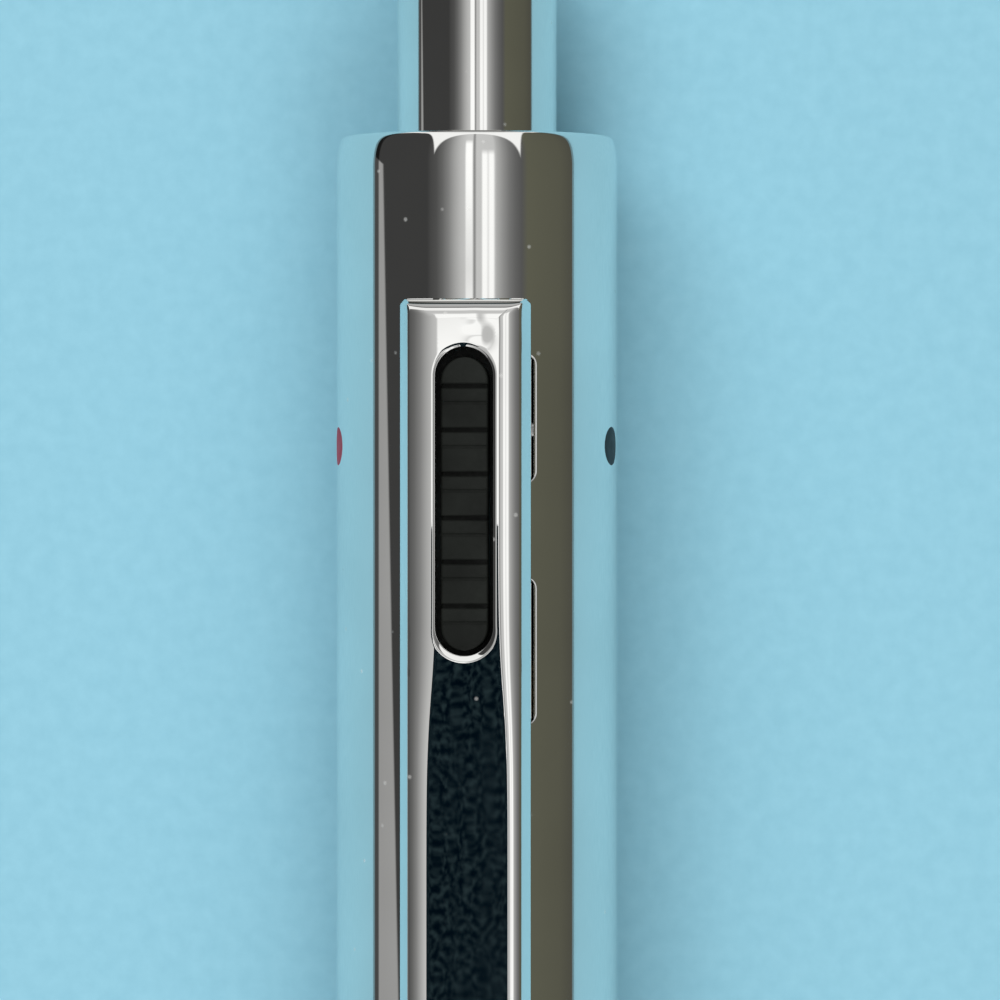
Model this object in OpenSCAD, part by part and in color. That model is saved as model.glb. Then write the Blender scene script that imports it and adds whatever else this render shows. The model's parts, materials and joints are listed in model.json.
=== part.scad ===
// Gravity-select multifunction pen: two ball refills and a pencil in a polished barrel.
// Each piece is drawn standing on its nose along Z, with the clip towards -Y, and then
// laid on its back along Y, so that the knob points to +Y and the clip faces up.

/* [Barrel] */
// Outside diameter of both barrel halves
barrel_d = 11; // [10.6:0.1:12]
// Wall of both barrel halves
barrel_wall = 0.8; // [0.7:0.05:0.9]
// Length of the upper barrel, from the joint to its top
upper_len = 62; // [58:0.5:70]
// Thickness of the closed end of the upper barrel
top_wall = 1.6; // [1.2:0.1:2]
// Rounding of the upper barrel's top edge
top_edge_r = 0.38; // [0.2:0.02:0.6]
// Length of the lower barrel, without the nose cone
lower_len = 55; // [52:0.5:60]
// Length over which the lower barrel and the nose curve in to the tip
taper_len = 38; // [34:1:42]
// Diameter of the recessed ring between the barrel halves
ring_d = 10.6; // [10.4:0.05:10.8]
// Width of the recessed ring
ring_w = 0.8; // [0.5:0.1:1.5]
// Reach of the thread sleeve into the upper barrel
sleeve_upper = 9; // [7:0.5:10]
// Reach of the thread sleeve into the lower barrel
sleeve_lower = 8; // [6:0.5:9]
// Wall of the thread sleeve
sleeve_wall = 0.43; // [0.4:0.01:0.45]
// How far below the start of the taper the lower barrel's bore narrows
bore_slope_drop = 4; // [3:0.5:6]

/* [Nose] */
// Length of the nose cone
nose_len = 15; // [13:0.5:17]
// Outside diameter of the nose at the tip
nose_tip_d = 5.2; // [5:0.1:5.8]
// Diameter of the hole that the points leave by
exit_d = 3.94; // [3.9:0.02:4.2]
// Length of the straight lip of that hole
exit_lip = 1.2; // [0.8:0.1:1.6]
// Length of the nose's spigot in the lower barrel
spigot_len = 5; // [3:0.5:7]
// How far the spigot steps in from the outside of the nose
spigot_step = 1.15; // [1:0.05:1.2]
// Wall of the spigot
spigot_wall = 0.4; // [0.3:0.05:0.45]

/* [Knob] */
// Diameter of the push knob
knob_d = 6.26; // [5.8:0.02:6.6]
// How far the knob stands out of the barrel
knob_out = 9.5; // [8:0.5:12]
// How far the knob is pressed
knob_stroke = 6.5; // [5.5:0.25:6.75]
// Rounding of the knob's end
knob_edge_r = 0.6; // [0.3:0.05:1]
// Thickness of the knob's solid end
knob_cap = 3; // [2:0.25:4]
// Diameter of the flange that keeps the knob in
flange_d = 8.6; // [8:0.1:8.8]
// Thickness of that flange
flange_t = 1.5; // [1:0.1:1.8]
// Diameter of the plunger stem under the knob
stem_d = 4.6; // [4.2:0.1:4.8]
// Diameter of the pivot at the end of the stem
pivot_d = 2.4; // [2:0.1:2.6]
// Thickness of the washer on the pivot
washer_t = 0.7; // [0.5:0.05:0.8]
// Width of the washer's rim round the pivot
washer_rim = 0.4; // [0.3:0.05:0.5]
// Length of the pivot below the washer
pivot_tail = 0.3; // [0.2:0.05:0.5]

/* [Clip] */
// Width of the clip
clip_w = 5; // [4.8:0.05:5.2]
// Length of the clip
clip_len = 40; // [34:0.5:46]
// Distance from the barrel's top to the clip's upper end
clip_drop = 6.5; // [6:0.1:8]
// Thickness of the clip
clip_t = 1.1; // [1.1:0.05:1.4]
// Gap between the clip and the barrel
clip_gap = 0.55; // [0.5:0.05:0.8]
// Rounding of the clip's long edges
clip_edge_r = 0.8; // [0.5:0.05:1.05]
// Rounding of the clip's two ends
clip_end_r = 0.5; // [0.2:0.05:0.6]
// Rounding of the clip's corners, seen from outside
clip_corner_r = 0.45; // [0.2:0.05:0.6]
// Width of the window for the release button
window_w = 2.24; // [2.2:0.02:2.5]
// Length of that window
window_len = 11.8; // [11.7:0.1:13]
// Distance from the clip's upper end to the window
window_drop = 1.85; // [1.5:0.05:2.5]
// Width of the bevel round the window
window_bevel = 0.24; // [0.05:0.01:0.3]
// Thickness of each clip leg
leg_t = 0.55; // [0.4:0.05:0.6]
// How far the legs lie in from the clip's side edges
leg_inset = 0.04; // [0.02:0.01:0.1]
// How far the legs' slots show beside the clip
slot_show = 0.06; // [0.06:0.01:0.15]
// Rounding of those slots' corners
slot_corner_r = 0.4; // [0.1:0.05:0.5]
// Distance from the clip's upper end to its hinge
hinge_drop = 5; // [4.8:0.1:5.2]
// Length of the hinge legs along the pen
hinge_leg_len = 4.3; // [3.8:0.1:4.4]
// How far the hinge legs and their slots lie towards the knob from the hinge pin
hinge_leg_shift = 0.45; // [0.2:0.05:0.6]
// Length of the eyes that take the hinge pin
hinge_eye_len = 2.6; // [2.2:0.1:2.8]
// Length of the hinge legs' slots
hinge_slot_len = 4.9; // [4.5:0.1:5]
// Distance from the clip's upper end to the middle of the stop legs
stop_drop = 13.5; // [13.3:0.05:14.5]
// Length of the stop legs along the pen
stop_leg_len = 5; // [4:0.1:5]
// Length of the stop legs' slots
stop_slot_len = 5.6; // [5.3:0.1:6]
// Diameter of the clip's hinge pin
clip_pin_d = 0.8; // [0.6:0.05:0.9]
// Depth of the hinge pin's middle below the barrel's bore
clip_pin_depth = 0.65; // [0.6:0.05:0.8]
// How far the hinge pin's ends lie below the barrel's outside
clip_pin_inset = 0.25; // [0.2:0.05:0.3]
// Wall of the hinge legs beyond the pin
eye_wall = 0.2; // [0.15:0.05:0.3]
// Radius of the bump under the clip's free end
bump_r = 1.1; // [0.9:0.05:1.3]
// Gap between that bump and the barrel
bump_gap = 0.08; // [0.05:0.01:0.12]
// Thickness of the leaf spring under the clip's upper end
clip_spring_t = 0.14; // [0.1:0.01:0.16]
// Width of that leaf spring
clip_spring_w = 2; // [1.5:0.1:2.5]
// Length of that leaf spring
clip_spring_len = 1.1; // [0.9:0.05:1.3]
// Bow of that leaf spring
clip_spring_bow = 0.08; // [0.04:0.01:0.1]

/* [Release button] */
// Width of the release button
button_w = 1.8; // [1.75:0.01:2.05]
// Length of the release button
button_len = 11.2; // [10.5:0.05:11.4]
// How far the button lies below the clip's face
button_sink = 0.25; // [0.1:0.05:0.4]
// How far the button is pressed
button_travel = 0.6; // [0.4:0.05:0.65]
// Number of grooves across the button
groove_count = 6; // [3:1:7]
// Spacing of the grooves
groove_pitch = 1.68; // [1.2:0.02:1.7]
// Width of a groove
groove_w = 0.2; // [0.1:0.02:0.4]
// How far the row of grooves lies towards the knob from the button's middle
groove_shift = 0.3; // [0:0.05:0.5]
// Depth of a groove
groove_depth = 0.3; // [0.1:0.05:0.4]
// Width of the bevel round the button's face
button_bevel = 0.1; // [0.05:0.01:0.25]
// How far the button's middle lies below the window's
button_low = 0.1; // [0:0.02:0.14]
// How far the button's lip reaches out under the clip on each side
button_lip = 0.52; // [0.4:0.02:0.56]
// Thickness of that lip
button_lip_t = 0.35; // [0.3:0.05:0.45]
// How far that lip stands out of the barrel
button_lip_out = 0.15; // [0.1:0.05:0.2]
// Width of the foot that presses the release leaf
button_foot_w = 1.7; // [1.4:0.05:1.75]
// Length of that foot
button_foot_len = 4.6; // [4.2:0.1:5]
// How far the foot's upper end lies above the button's middle
button_foot_rise = 0.05; // [0:0.05:0.3]

/* [Refills] */
// Diameter of a ball refill
refill_d = 2.35; // [2.2:0.05:2.4]
// Length of a ball refill
refill_len = 67; // [64:0.5:69]
// Length of the slim metal point of a ball refill
point_len = 6.5; // [6:0.1:7.5]
// Diameter of the slim part of the point
point_d = 1.1; // [0.9:0.05:1.15]
// Length of the cone at the end of the point
point_cone = 1.4; // [1.2:0.1:1.8]
// Length of the point up to where it widens
point_neck = 4.5; // [4:0.1:5]
// Diameter of the writing ball's seat
ball_d = 0.7; // [0.5:0.05:0.8]
// How far the writing ball stands out
ball_out = 0.1; // [0.05:0.01:0.15]
// How far the points lie inside the nose when they are in
tip_inset = 4; // [3.6:0.1:4.5]
// Diameter of the pencil's tube
pencil_d = 2.2; // [2:0.05:2.3]
// Wall of the pencil's tube
pencil_wall = 0.35; // [0.2:0.05:0.4]
// Diameter of the pencil's lead sleeve
sleeve_d = 1; // [0.8:0.05:1.1]
// Length of the pencil's lead sleeve
sleeve_len = 4; // [3:0.1:4.5]
// Length of the pencil's cone
cone_len = 5; // [4:0.1:6]
// Diameter of the lead
lead_d = 0.5; // [0.3:0.1:0.7]
// Length of the lead inside the pencil
lead_len = 48; // [30:1:50]
// How far the refills lie from the pen's axis at the tip
exit_offset = 1.32; // [1.32:0.01:1.36]
// Slope of the refills away from the pen's axis, as a tangent
spread = 0.016; // [0.015:0.0005:0.0165]

/* [Mechanism] */
// Diameter of a slider's collar, which holds the end of a refill
collar_d = 3; // [2.8:0.05:3.05]
// Length of the collar below the end of the refill
collar_grip = 6; // [4:0.5:7]
// Thickness of the collar's end
collar_wall = 1; // [0.8:0.1:1.5]
// Diameter of a slider's rod
rod_d = 1.8; // [1.4:0.1:2]
// Diameter of a slider's head
head_d = 2.5; // [2.2:0.05:2.6]
// Length of a slider's head
head_len = 2.7; // [2:0.1:3]
// Length of a slider's return spring
return_len = 17.5; // [16:0.5:20]
// Wire of the return springs
return_wire = 0.22; // [0.15:0.01:0.24]
// Turns of a return spring
return_turns = 9; // [6:1:12]
// Thickness of the core's end below the return springs
front_wall = 1.5; // [1:0.1:2]
// Wire of the knob's spring
knob_wire = 0.34; // [0.2:0.02:0.4]
// Turns of the knob's spring
knob_turns = 8; // [5:1:10]
// Thickness of the seat under the knob's spring
seat_t = 1; // [0.8:0.1:1.4]
// Diameter of the selector weight
weight_d = 7.7; // [7:0.1:7.8]
// Thickness of the selector weight
weight_t = 3; // [2:0.1:4]
// Wall of the selector's hub round the pivot
hub_wall = 0.8; // [0.6:0.1:1]
// Diameter of the selector's finger
finger_d = 2.3; // [2:0.05:2.4]
// Thickness of the release leaf
leaf_t = 0.2; // [0.1:0.02:0.22]
// Width of the release leaf
leaf_w = 2.2; // [1.8:0.1:2.3]
// Length of the release leaf's hook
hook_len = 0.8; // [0.6:0.05:1]
// Width of that hook
hook_w = 1.1; // [0.8:0.1:1.4]

/* [Marks] */
// Diameter of the colour marks
mark_d = 1.6; // [1:0.1:2]
// Depth of the colour marks
mark_depth = 0.4; // [0.2:0.05:0.5]
// Distance from the barrel's top to the marks
mark_drop = 12.1; // [11:0.05:14]
// Angle from the clip round to each mark
mark_angle = 76; // [70:1:90]

/* [Fits] */
// Radial clearance of pieces that are pressed or screwed together
seat_fit = 0.02; // [0.01:0.01:0.04]
// Radial clearance of pieces that turn on each other
run_fit = 0.05; // [0.03:0.01:0.08]
// Radial clearance of pieces that slide in each other
slide_fit = 0.1; // [0.08:0.01:0.12]
// Gap between faces that move apart
face_gap = 0.3; // [0.2:0.05:0.35]

/* [Hidden] */
$fn = 96;
// Steps of the long taper, and rings in each turn of a spring
taper_steps = 19;
turn_rings = 12;
// How far a cut runs past the face that it opens
past = 1;

barrel_r = barrel_d / 2;
bore_r = barrel_r - barrel_wall;
joint_z = nose_len + lower_len;
top_z = joint_z + upper_len;
knob_top_z = top_z + knob_out;

// Arc that draws the lower barrel in to the tip
taper_drop = barrel_r - nose_tip_d / 2;
taper_r = (taper_len * taper_len + taper_drop * taper_drop) / (2 * taper_drop);
// Outside radius of the lower half at a height above the tip
function taper_at(z) = barrel_r - taper_r + sqrt(taper_r * taper_r - pow(max(taper_len - z, 0), 2));

// Directions round the axis: the clip, and the three refills
clip_angle = -90;
pencil_angle = clip_angle;
red_angle = clip_angle - 120;
black_angle = clip_angle + 120;
tilt = atan(spread);
// Distance of a refill's line from the pen's axis at a height
function line_at(z) = exit_offset + spread * z;

// Heights along a refill's own line
refill_end = tip_inset + refill_len;
collar_top = refill_end + collar_wall;
collar_bottom = refill_end - collar_grip;
chamber_front = collar_bottom - return_len;
core_front = chamber_front - front_wall;
collar_room = collar_d / 2 + slide_fit;

// Heights of the clip, the window and the release button
clip_top_z = top_z - clip_drop;
clip_under = barrel_r + clip_gap;
clip_face = clip_under + clip_t;
window_mid_z = clip_top_z - window_drop - window_len / 2;
button_mid_z = window_mid_z - button_low;
button_face = clip_face - button_sink;
groove_mid_z = button_mid_z + groove_shift;
button_foot_top = button_mid_z + button_foot_rise;
button_foot_z = button_foot_top - button_foot_len;
button_lip_w = button_w + 2 * button_lip;
button_lip_len = button_len + 2 * button_lip;
button_lip_top = barrel_r + button_lip_out;
button_lip_low = button_lip_top - button_lip_t;
slot_w = button_lip_w + 2 * slide_fit;
slot_len = button_lip_len + 2 * slide_fit;

// Places of the clip's legs, and its hinge
leg_x = clip_w / 2 - leg_inset - leg_t;
leg_root = clip_under + clip_t / 3;
leg_slot_w = clip_w + 2 * slot_show;
hinge_z = clip_top_z - hinge_drop;
hinge_leg_z = hinge_z + hinge_leg_shift;
hinge_y = bore_r - clip_pin_depth;
hinge_pin_top = hinge_y + clip_pin_d / 2;
hinge_pin_half = sqrt(barrel_r * barrel_r - hinge_pin_top * hinge_pin_top) - clip_pin_inset;
stop_leg_z = clip_top_z - stop_drop;

// Heights of the knob, the spring seat and the selector
flange_top = top_z - top_wall - run_fit;
flange_z = flange_top - flange_t;
seat_top = button_foot_z - face_gap;
seat_z = seat_top - seat_t;
weight_top = seat_z - face_gap;
weight_z = weight_top - weight_t;
finger_z = weight_z - knob_stroke - face_gap;
washer_top = weight_z - run_fit;
washer_z = washer_top - washer_t;
pivot_end = washer_z - pivot_tail;

// Heights of the sliders' heads and of the core
head_top = finger_z - face_gap;
head_z = head_top - head_len;
head_room = head_d / 2 + slide_fit;
core_top = finger_z - knob_stroke - face_gap;
head_floor = head_z - knob_stroke - face_gap;
finger_offset = line_at(head_top);

// Release leaf, flat against the bore on the clip's side
leaf_out = sqrt(bore_r * bore_r - leaf_w * leaf_w / 4) - slide_fit;
leaf_in = leaf_out - leaf_t;
leaf_z = head_floor + face_gap;
leaf_top = button_foot_top - face_gap;
leaf_slot_w = leaf_w + 2 * slide_fit;
leaf_slot_in = leaf_in - slide_fit;
// The hook laps the slider's head by half of the button's travel
hook_z = head_top - knob_stroke + slide_fit;
hook_in = line_at(hook_z) + head_d / 2 - button_travel / 2;

// Thread sleeve and the core's two diameters
sleeve_out = bore_r - seat_fit;
sleeve_in = sleeve_out - sleeve_wall;
core_r = sleeve_in - slide_fit;
core_shoulder_z = joint_z + sleeve_upper + face_gap;
spigot_r = taper_at(nose_len) - spigot_step;
spigot_in = spigot_r - spigot_wall;
spigot_top = nose_len + spigot_len;
throat_r = exit_offset + refill_d / 2 + 2 * slide_fit;
knob_cap_z = knob_top_z - knob_cap;

// Laying the pen on its back, with the middle of its length at the origin
module lay() {
    translate([0, -knob_top_z / 2, barrel_r]) rotate([-90, 0, 0]) children();
}

// A frame whose Z axis is the line of one refill
module on_line(angle) {
    rotate([0, 0, angle]) translate([exit_offset, 0, 0]) rotate([0, tilt, 0]) children();
}

// A plain tube between two heights
module tube(outer, inner, low, high) {
    difference() {
        translate([0, 0, low]) cylinder(r = outer, h = high - low);
        translate([0, 0, low - past]) cylinder(r = inner, h = high - low + 2 * past);
    }
}

// Outline of the lower half, drawn in along one long arc
module taper_outline(low, high) {
    arc = [for (i = [0:taper_steps]) let (z = taper_len * i / taper_steps) [taper_at(z), z]];
    intersection() {
        translate([0, low]) square([barrel_r, high - low]);
        polygon(concat([[0, 0]], arc, [[barrel_r, joint_z], [0, joint_z]]));
    }
}

// A rectangle with rounded corners
module round_rect(width, length, radius) {
    square([width - 2 * radius, length], center = true);
    square([width, length - 2 * radius], center = true);
    for (x = [-1, 1], y = [-1, 1])
        translate([x * (width / 2 - radius), y * (length / 2 - radius)]) circle(r = radius);
}

// A slot's outline, with round ends
module stadium_outline(width, length) {
    square([width, length - width], center = true);
    for (side = [-1, 1]) translate([0, side * (length - width) / 2]) circle(d = width);
}

// That outline as a prism on the clip's side, between two distances from the axis
module stadium_at(width, length, mid_z, low, high) {
    translate([0, -low, mid_z]) rotate([90, 0, 0]) linear_extrude(high - low) stadium_outline(width, length);
}

// A prism with round ends and sloping walls, from one width to another
module stadium_bevel(low_w, high_w, straight, mid_z, low, high) {
    for (side = [-1, 1]) translate([0, -low, mid_z + side * straight / 2]) rotate([90, 0, 0])
        cylinder(d1 = low_w, d2 = high_w, h = high - low);
    translate([0, 0, mid_z - straight / 2]) linear_extrude(straight) polygon([
        [-low_w / 2, -low], [low_w / 2, -low], [high_w / 2, -high], [-high_w / 2, -high]
    ]);
}

// A box in the middle of the clip's side, between two distances from the axis and two heights
module clip_side_box(width, low, high, z0, z1) {
    translate([-width / 2, -high, z0]) cube([width, high - low, z1 - z0]);
}

// A coil spring as one swept wire between two heights
module coil(mean_r, wire, turns, low, high) {
    sides = 6;
    rings = turn_rings * turns;
    rise = (high - low - wire) / rings;
    lean = atan(rise * turn_rings / (2 * PI * mean_r));
    points = [
        for (i = [0:rings]) let (a = i * 360 / turn_rings)
        for (k = [0:sides - 1]) let (b = k * 360 / sides, u = cos(b) * wire / 2, v = sin(b) * wire / 2)
        [
            (mean_r + u) * cos(a) + v * sin(lean) * sin(a),
            (mean_r + u) * sin(a) - v * sin(lean) * cos(a),
            low + wire / 2 + i * rise + v * cos(lean)
        ]
    ];
    walls = [
        for (i = [0:rings - 1]) for (k = [0:sides - 1]) let (n = (k + 1) % sides)
        each [
            [i * sides + k, (i + 1) * sides + k, i * sides + n],
            [i * sides + n, (i + 1) * sides + k, (i + 1) * sides + n]
        ]
    ];
    first_end = [for (k = [1:sides - 2]) [0, k, k + 1]];
    last = rings * sides;
    last_end = [for (k = [1:sides - 2]) [last, last + k + 1, last + k]];
    polyhedron(points = points, faces = concat(walls, first_end, last_end));
}

// A drilled place for one colour mark
module mark_cylinder(side, inner, outer, radius) {
    translate([0, 0, top_z - mark_drop]) rotate([0, 0, clip_angle + side * mark_angle])
        rotate([0, 90, 0]) translate([0, 0, inner]) cylinder(r = radius, h = outer - inner);
}

module upper_barrel() {
    color("gainsboro") lay() difference() {
        rotate_extrude() {
            difference() {
                union() {
                    translate([0, joint_z]) square([barrel_r, upper_len - top_edge_r]);
                    translate([0, joint_z]) square([barrel_r - top_edge_r, upper_len]);
                    translate([barrel_r - top_edge_r, top_z - top_edge_r]) circle(r = top_edge_r);
                }
                translate([0, joint_z - past]) square([bore_r, upper_len - top_wall + past]);
                translate([0, joint_z]) square([knob_d / 2 + slide_fit, upper_len + past]);
            }
        }
        stadium_at(slot_w, slot_len, button_mid_z, bore_r / 2, barrel_r + past);
        for (slot = [[hinge_leg_z, hinge_slot_len], [stop_leg_z, stop_slot_len]])
            translate([0, -bore_r / 2, slot[0]]) rotate([90, 0, 0])
                linear_extrude(barrel_r) round_rect(leg_slot_w, slot[1], slot_corner_r);
        hinge_bore(clip_pin_d / 2 + seat_fit, hinge_pin_half + seat_fit);
        for (side = [-1, 1])
            mark_cylinder(side, barrel_r - mark_depth - seat_fit, barrel_r + past, mark_d / 2 + seat_fit);
    }
}

// The line of the clip's hinge pin
module hinge_bore(radius, half) {
    translate([-half, -hinge_y, hinge_z]) rotate([0, 90, 0]) cylinder(r = radius, h = 2 * half);
}

module lower_barrel() {
    shoulder_z = joint_z - sleeve_lower - face_gap;
    ledge_r = spigot_r - spigot_wall / 2;
    color("gainsboro") lay() rotate_extrude() difference() {
        taper_outline(nose_len, joint_z - ring_w);
        translate([0, nose_len - past]) square([spigot_r + seat_fit, spigot_len + face_gap + past]);
        polygon([
            [0, nose_len], [ledge_r, nose_len], [ledge_r, spigot_top + face_gap],
            [sleeve_in, taper_len - bore_slope_drop], [sleeve_in, joint_z], [0, joint_z]
        ]);
        translate([0, shoulder_z]) square([bore_r, joint_z]);
    }
}

module nose_cone() {
    cone_top = tip_inset + point_len;
    throat_z = cone_top - knob_stroke - 2 * slide_fit;
    throat_out = throat_r + spread * cone_top;
    color("gainsboro") lay() rotate_extrude() difference() {
        union() {
            taper_outline(0, nose_len);
            translate([0, nose_len - spigot_wall]) square([spigot_r, spigot_len + spigot_wall]);
        }
        polygon([
            [0, -past], [exit_d / 2, -past], [exit_d / 2, exit_lip], [throat_r, throat_z],
            [throat_out, cone_top], [spigot_in, nose_len], [spigot_in, spigot_top + past],
            [0, spigot_top + past]
        ]);
    }
}

module joint_ring() {
    color("dimgray") lay() tube(ring_d / 2, bore_r, joint_z - ring_w, joint_z);
}

module thread_sleeve() {
    color("goldenrod") lay() tube(sleeve_out, sleeve_in, joint_z - sleeve_lower, joint_z + sleeve_upper);
}

module push_knob() {
    knob_r = knob_d / 2;
    color("gainsboro") lay() rotate_extrude() difference() {
        union() {
            translate([0, flange_top]) square([knob_r, knob_top_z - flange_top - knob_edge_r]);
            translate([0, flange_top]) square([knob_r - knob_edge_r, knob_top_z - flange_top]);
            translate([knob_r - knob_edge_r, knob_top_z - knob_edge_r]) circle(r = knob_edge_r);
        }
        translate([0, flange_top - past]) square([stem_d / 2 + seat_fit, knob_cap_z - flange_top + past]);
    }
}

module knob_plunger() {
    shoulder_z = weight_top + run_fit;
    color("dimgray") lay() {
        translate([0, 0, shoulder_z]) cylinder(d = stem_d, h = knob_cap_z - run_fit - shoulder_z);
        translate([0, 0, flange_z]) cylinder(d = flange_d, h = flange_t);
        translate([0, 0, pivot_end]) cylinder(d = pivot_d, h = shoulder_z - pivot_end);
    }
}

module pivot_washer() {
    color("silver") lay() tube(pivot_d / 2 + washer_rim, pivot_d / 2 + seat_fit, washer_z, washer_top);
}

module knob_spring() {
    mean_r = stem_d / 2 + 2 * slide_fit + knob_wire / 2;
    color("silver") lay() coil(mean_r, knob_wire, knob_turns, seat_top, flange_z);
}

module spring_seat() {
    color("goldenrod") lay() difference() {
        tube(bore_r - seat_fit, stem_d / 2 + 2 * slide_fit, seat_z, seat_top);
        clip_side_box(leaf_slot_w, leaf_slot_in, barrel_r, seat_z - past, seat_top + past);
    }
}

module selector_weight() {
    color("goldenrod") lay() difference() {
        union() {
            intersection() {
                translate([0, 0, weight_z]) cylinder(d = weight_d, h = weight_t);
                translate([-barrel_r, 0, weight_z]) cube([barrel_d, barrel_r, weight_t]);
            }
            translate([0, 0, weight_z]) cylinder(d = pivot_d + 2 * hub_wall, h = weight_t);
            translate([0, -finger_offset, finger_z]) cylinder(d = finger_d, h = weight_top - finger_z);
            clip_side_box(finger_d, 0, finger_offset, weight_z, weight_top);
        }
        translate([0, 0, weight_z - past]) cylinder(r = pivot_d / 2 + run_fit, h = weight_t + 2 * past);
    }
}

module mechanism_core() {
    color("ivory") lay() difference() {
        union() {
            translate([0, 0, core_front]) cylinder(r = core_r, h = core_shoulder_z - core_front);
            translate([0, 0, core_shoulder_z])
                cylinder(r = bore_r - slide_fit, h = core_top - core_shoulder_z);
        }
        for (angle = [pencil_angle, red_angle, black_angle]) on_line(angle) {
            translate([0, 0, core_front - past])
                cylinder(r = refill_d / 2 + slide_fit, h = core_top - core_front);
            translate([0, 0, chamber_front])
                cylinder(r = collar_room, h = collar_top + face_gap - chamber_front);
            translate([0, 0, head_floor]) cylinder(r = head_room, h = core_top - head_floor + past);
        }
        clip_side_box(leaf_slot_w, leaf_slot_in, barrel_r, head_floor, core_top + past);
    }
}

module release_leaf() {
    color("silver") lay() {
        clip_side_box(leaf_w, leaf_in, leaf_out, leaf_z, leaf_top);
        clip_side_box(hook_w, hook_in, leaf_in, hook_z, hook_z + hook_len);
    }
}

module release_button() {
    bevel_low = button_face - button_bevel;
    color("black") lay() difference() {
        union() {
            stadium_at(button_w, button_len, button_mid_z, button_lip_low, bevel_low);
            stadium_bevel(button_w, button_w - 2 * button_bevel, button_len - button_w, button_mid_z,
                bevel_low, button_face);
            stadium_at(button_lip_w, button_lip_len, button_mid_z, button_lip_low, button_lip_top);
            clip_side_box(button_foot_w, leaf_out + run_fit, button_lip_top, button_foot_z, button_foot_top);
        }
        for (i = [0:groove_count - 1])
            translate([0, 0, groove_mid_z + (i - (groove_count - 1) / 2) * groove_pitch])
                clip_side_box(button_lip_w, button_face - groove_depth, button_face + past,
                    -groove_w / 2, groove_w / 2);
    }
}

// The clip's bar: three rounded outlines, seen from its end, its side and from outside
module clip_bar() {
    mid_z = clip_top_z - clip_len / 2;
    intersection() {
        translate([0, -clip_under, clip_top_z - clip_len])
            linear_extrude(clip_len) round_rect(clip_w, 2 * clip_t, clip_edge_r);
        translate([-clip_w, -clip_under, mid_z]) rotate([90, 0, 90])
            linear_extrude(2 * clip_w) round_rect(2 * clip_t, clip_len, clip_end_r);
        translate([0, -clip_under, mid_z]) rotate([90, 0, 0])
            linear_extrude(clip_t + past) round_rect(clip_w, clip_len, clip_corner_r);
    }
}

module clip() {
    color("gainsboro") lay() difference() {
        union() {
            clip_bar();
            clip_bump();
            for (side = [-1, 1]) {
                clip_leg(side, hinge_leg_z, hinge_leg_len, bore_r - slide_fit);
                clip_leg(side, hinge_z, hinge_eye_len, hinge_y - clip_pin_d / 2 - eye_wall);
                clip_leg(side, stop_leg_z, stop_leg_len, bore_r - slide_fit);
            }
        }
        clip_window();
        hinge_bore(clip_pin_d / 2 + run_fit, clip_w);
    }
}

module clip_leg(side, mid_z, length, low) {
    translate([side * (leg_x + leg_t / 2), 0, 0])
        clip_side_box(leg_t, low, leg_root, mid_z - length / 2, mid_z + length / 2);
}

// Round bump that holds cloth against the barrel
module clip_bump() {
    bump_z = clip_top_z - clip_len + clip_w / 2;
    intersection() {
        translate([0, -barrel_r - bump_gap - bump_r, bump_z]) sphere(r = bump_r);
        clip_side_box(clip_w, barrel_r, leg_root, bump_z - clip_w / 2, bump_z + clip_w / 2);
    }
}

// The window, with a bevel round its outer edge
module clip_window() {
    stadium_at(window_w, window_len, window_mid_z, clip_under - past, clip_face + past);
    stadium_bevel(window_w, window_w + 4 * window_bevel, window_len - window_w, window_mid_z,
        clip_face - window_bevel, clip_face + window_bevel);
}

module clip_pin() {
    color("silver") lay() hinge_bore(clip_pin_d / 2, hinge_pin_half);
}

// Bowed leaf that pushes the clip's upper end away from the barrel
module clip_spring() {
    half = clip_spring_len / 2;
    crown = clip_spring_t + clip_spring_bow;
    mid_z = clip_top_z - window_drop / 2;
    color("silver") lay() translate([-clip_spring_w / 2, -barrel_r - seat_fit, mid_z]) rotate([0, 90, 0])
        linear_extrude(clip_spring_w) polygon([
            [-half, 0], [-half, -clip_spring_t], [0, -crown],
            [half, -clip_spring_t], [half, 0], [0, -clip_spring_bow]
        ]);
}

module colour_mark(side) {
    intersection() {
        mark_cylinder(side, barrel_r - mark_depth, barrel_r + past, mark_d / 2);
        translate([0, 0, joint_z]) cylinder(r = barrel_r, h = upper_len);
    }
}

module mark_red() {
    color("firebrick") lay() colour_mark(-1);
}

module mark_black() {
    color("black") lay() colour_mark(1);
}

// A slider: its collar takes the end of a refill, and its head is pushed or caught
module slider(angle, socket_d) {
    lay() on_line(angle) difference() {
        union() {
            translate([0, 0, collar_bottom]) cylinder(d = collar_d, h = collar_top - collar_bottom);
            translate([0, 0, collar_top]) cylinder(d = rod_d, h = head_z - collar_top);
            translate([0, 0, head_z]) cylinder(d = head_d, h = head_len);
        }
        translate([0, 0, collar_bottom - past])
            cylinder(d = socket_d + 2 * seat_fit, h = collar_grip + past + run_fit);
    }
}

module pencil_slider() {
    color("lightgray") slider(pencil_angle, pencil_d);
}

module red_slider() {
    color("indianred") slider(red_angle, refill_d);
}

module black_slider() {
    color("gray") slider(black_angle, refill_d);
}

module return_spring(angle) {
    mean_r = refill_d / 2 + slide_fit + return_wire / 2;
    color("silver") lay() on_line(angle)
        coil(mean_r, return_wire, return_turns, chamber_front, collar_bottom);
}

module pencil_spring() {
    return_spring(pencil_angle);
}

module red_spring() {
    return_spring(red_angle);
}

module black_spring() {
    return_spring(black_angle);
}

// The long tube of a ball refill, behind its point
module ball_refill(angle) {
    lay() on_line(angle) translate([0, 0, tip_inset + point_len])
        cylinder(d = refill_d, h = refill_len - point_len);
}

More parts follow.
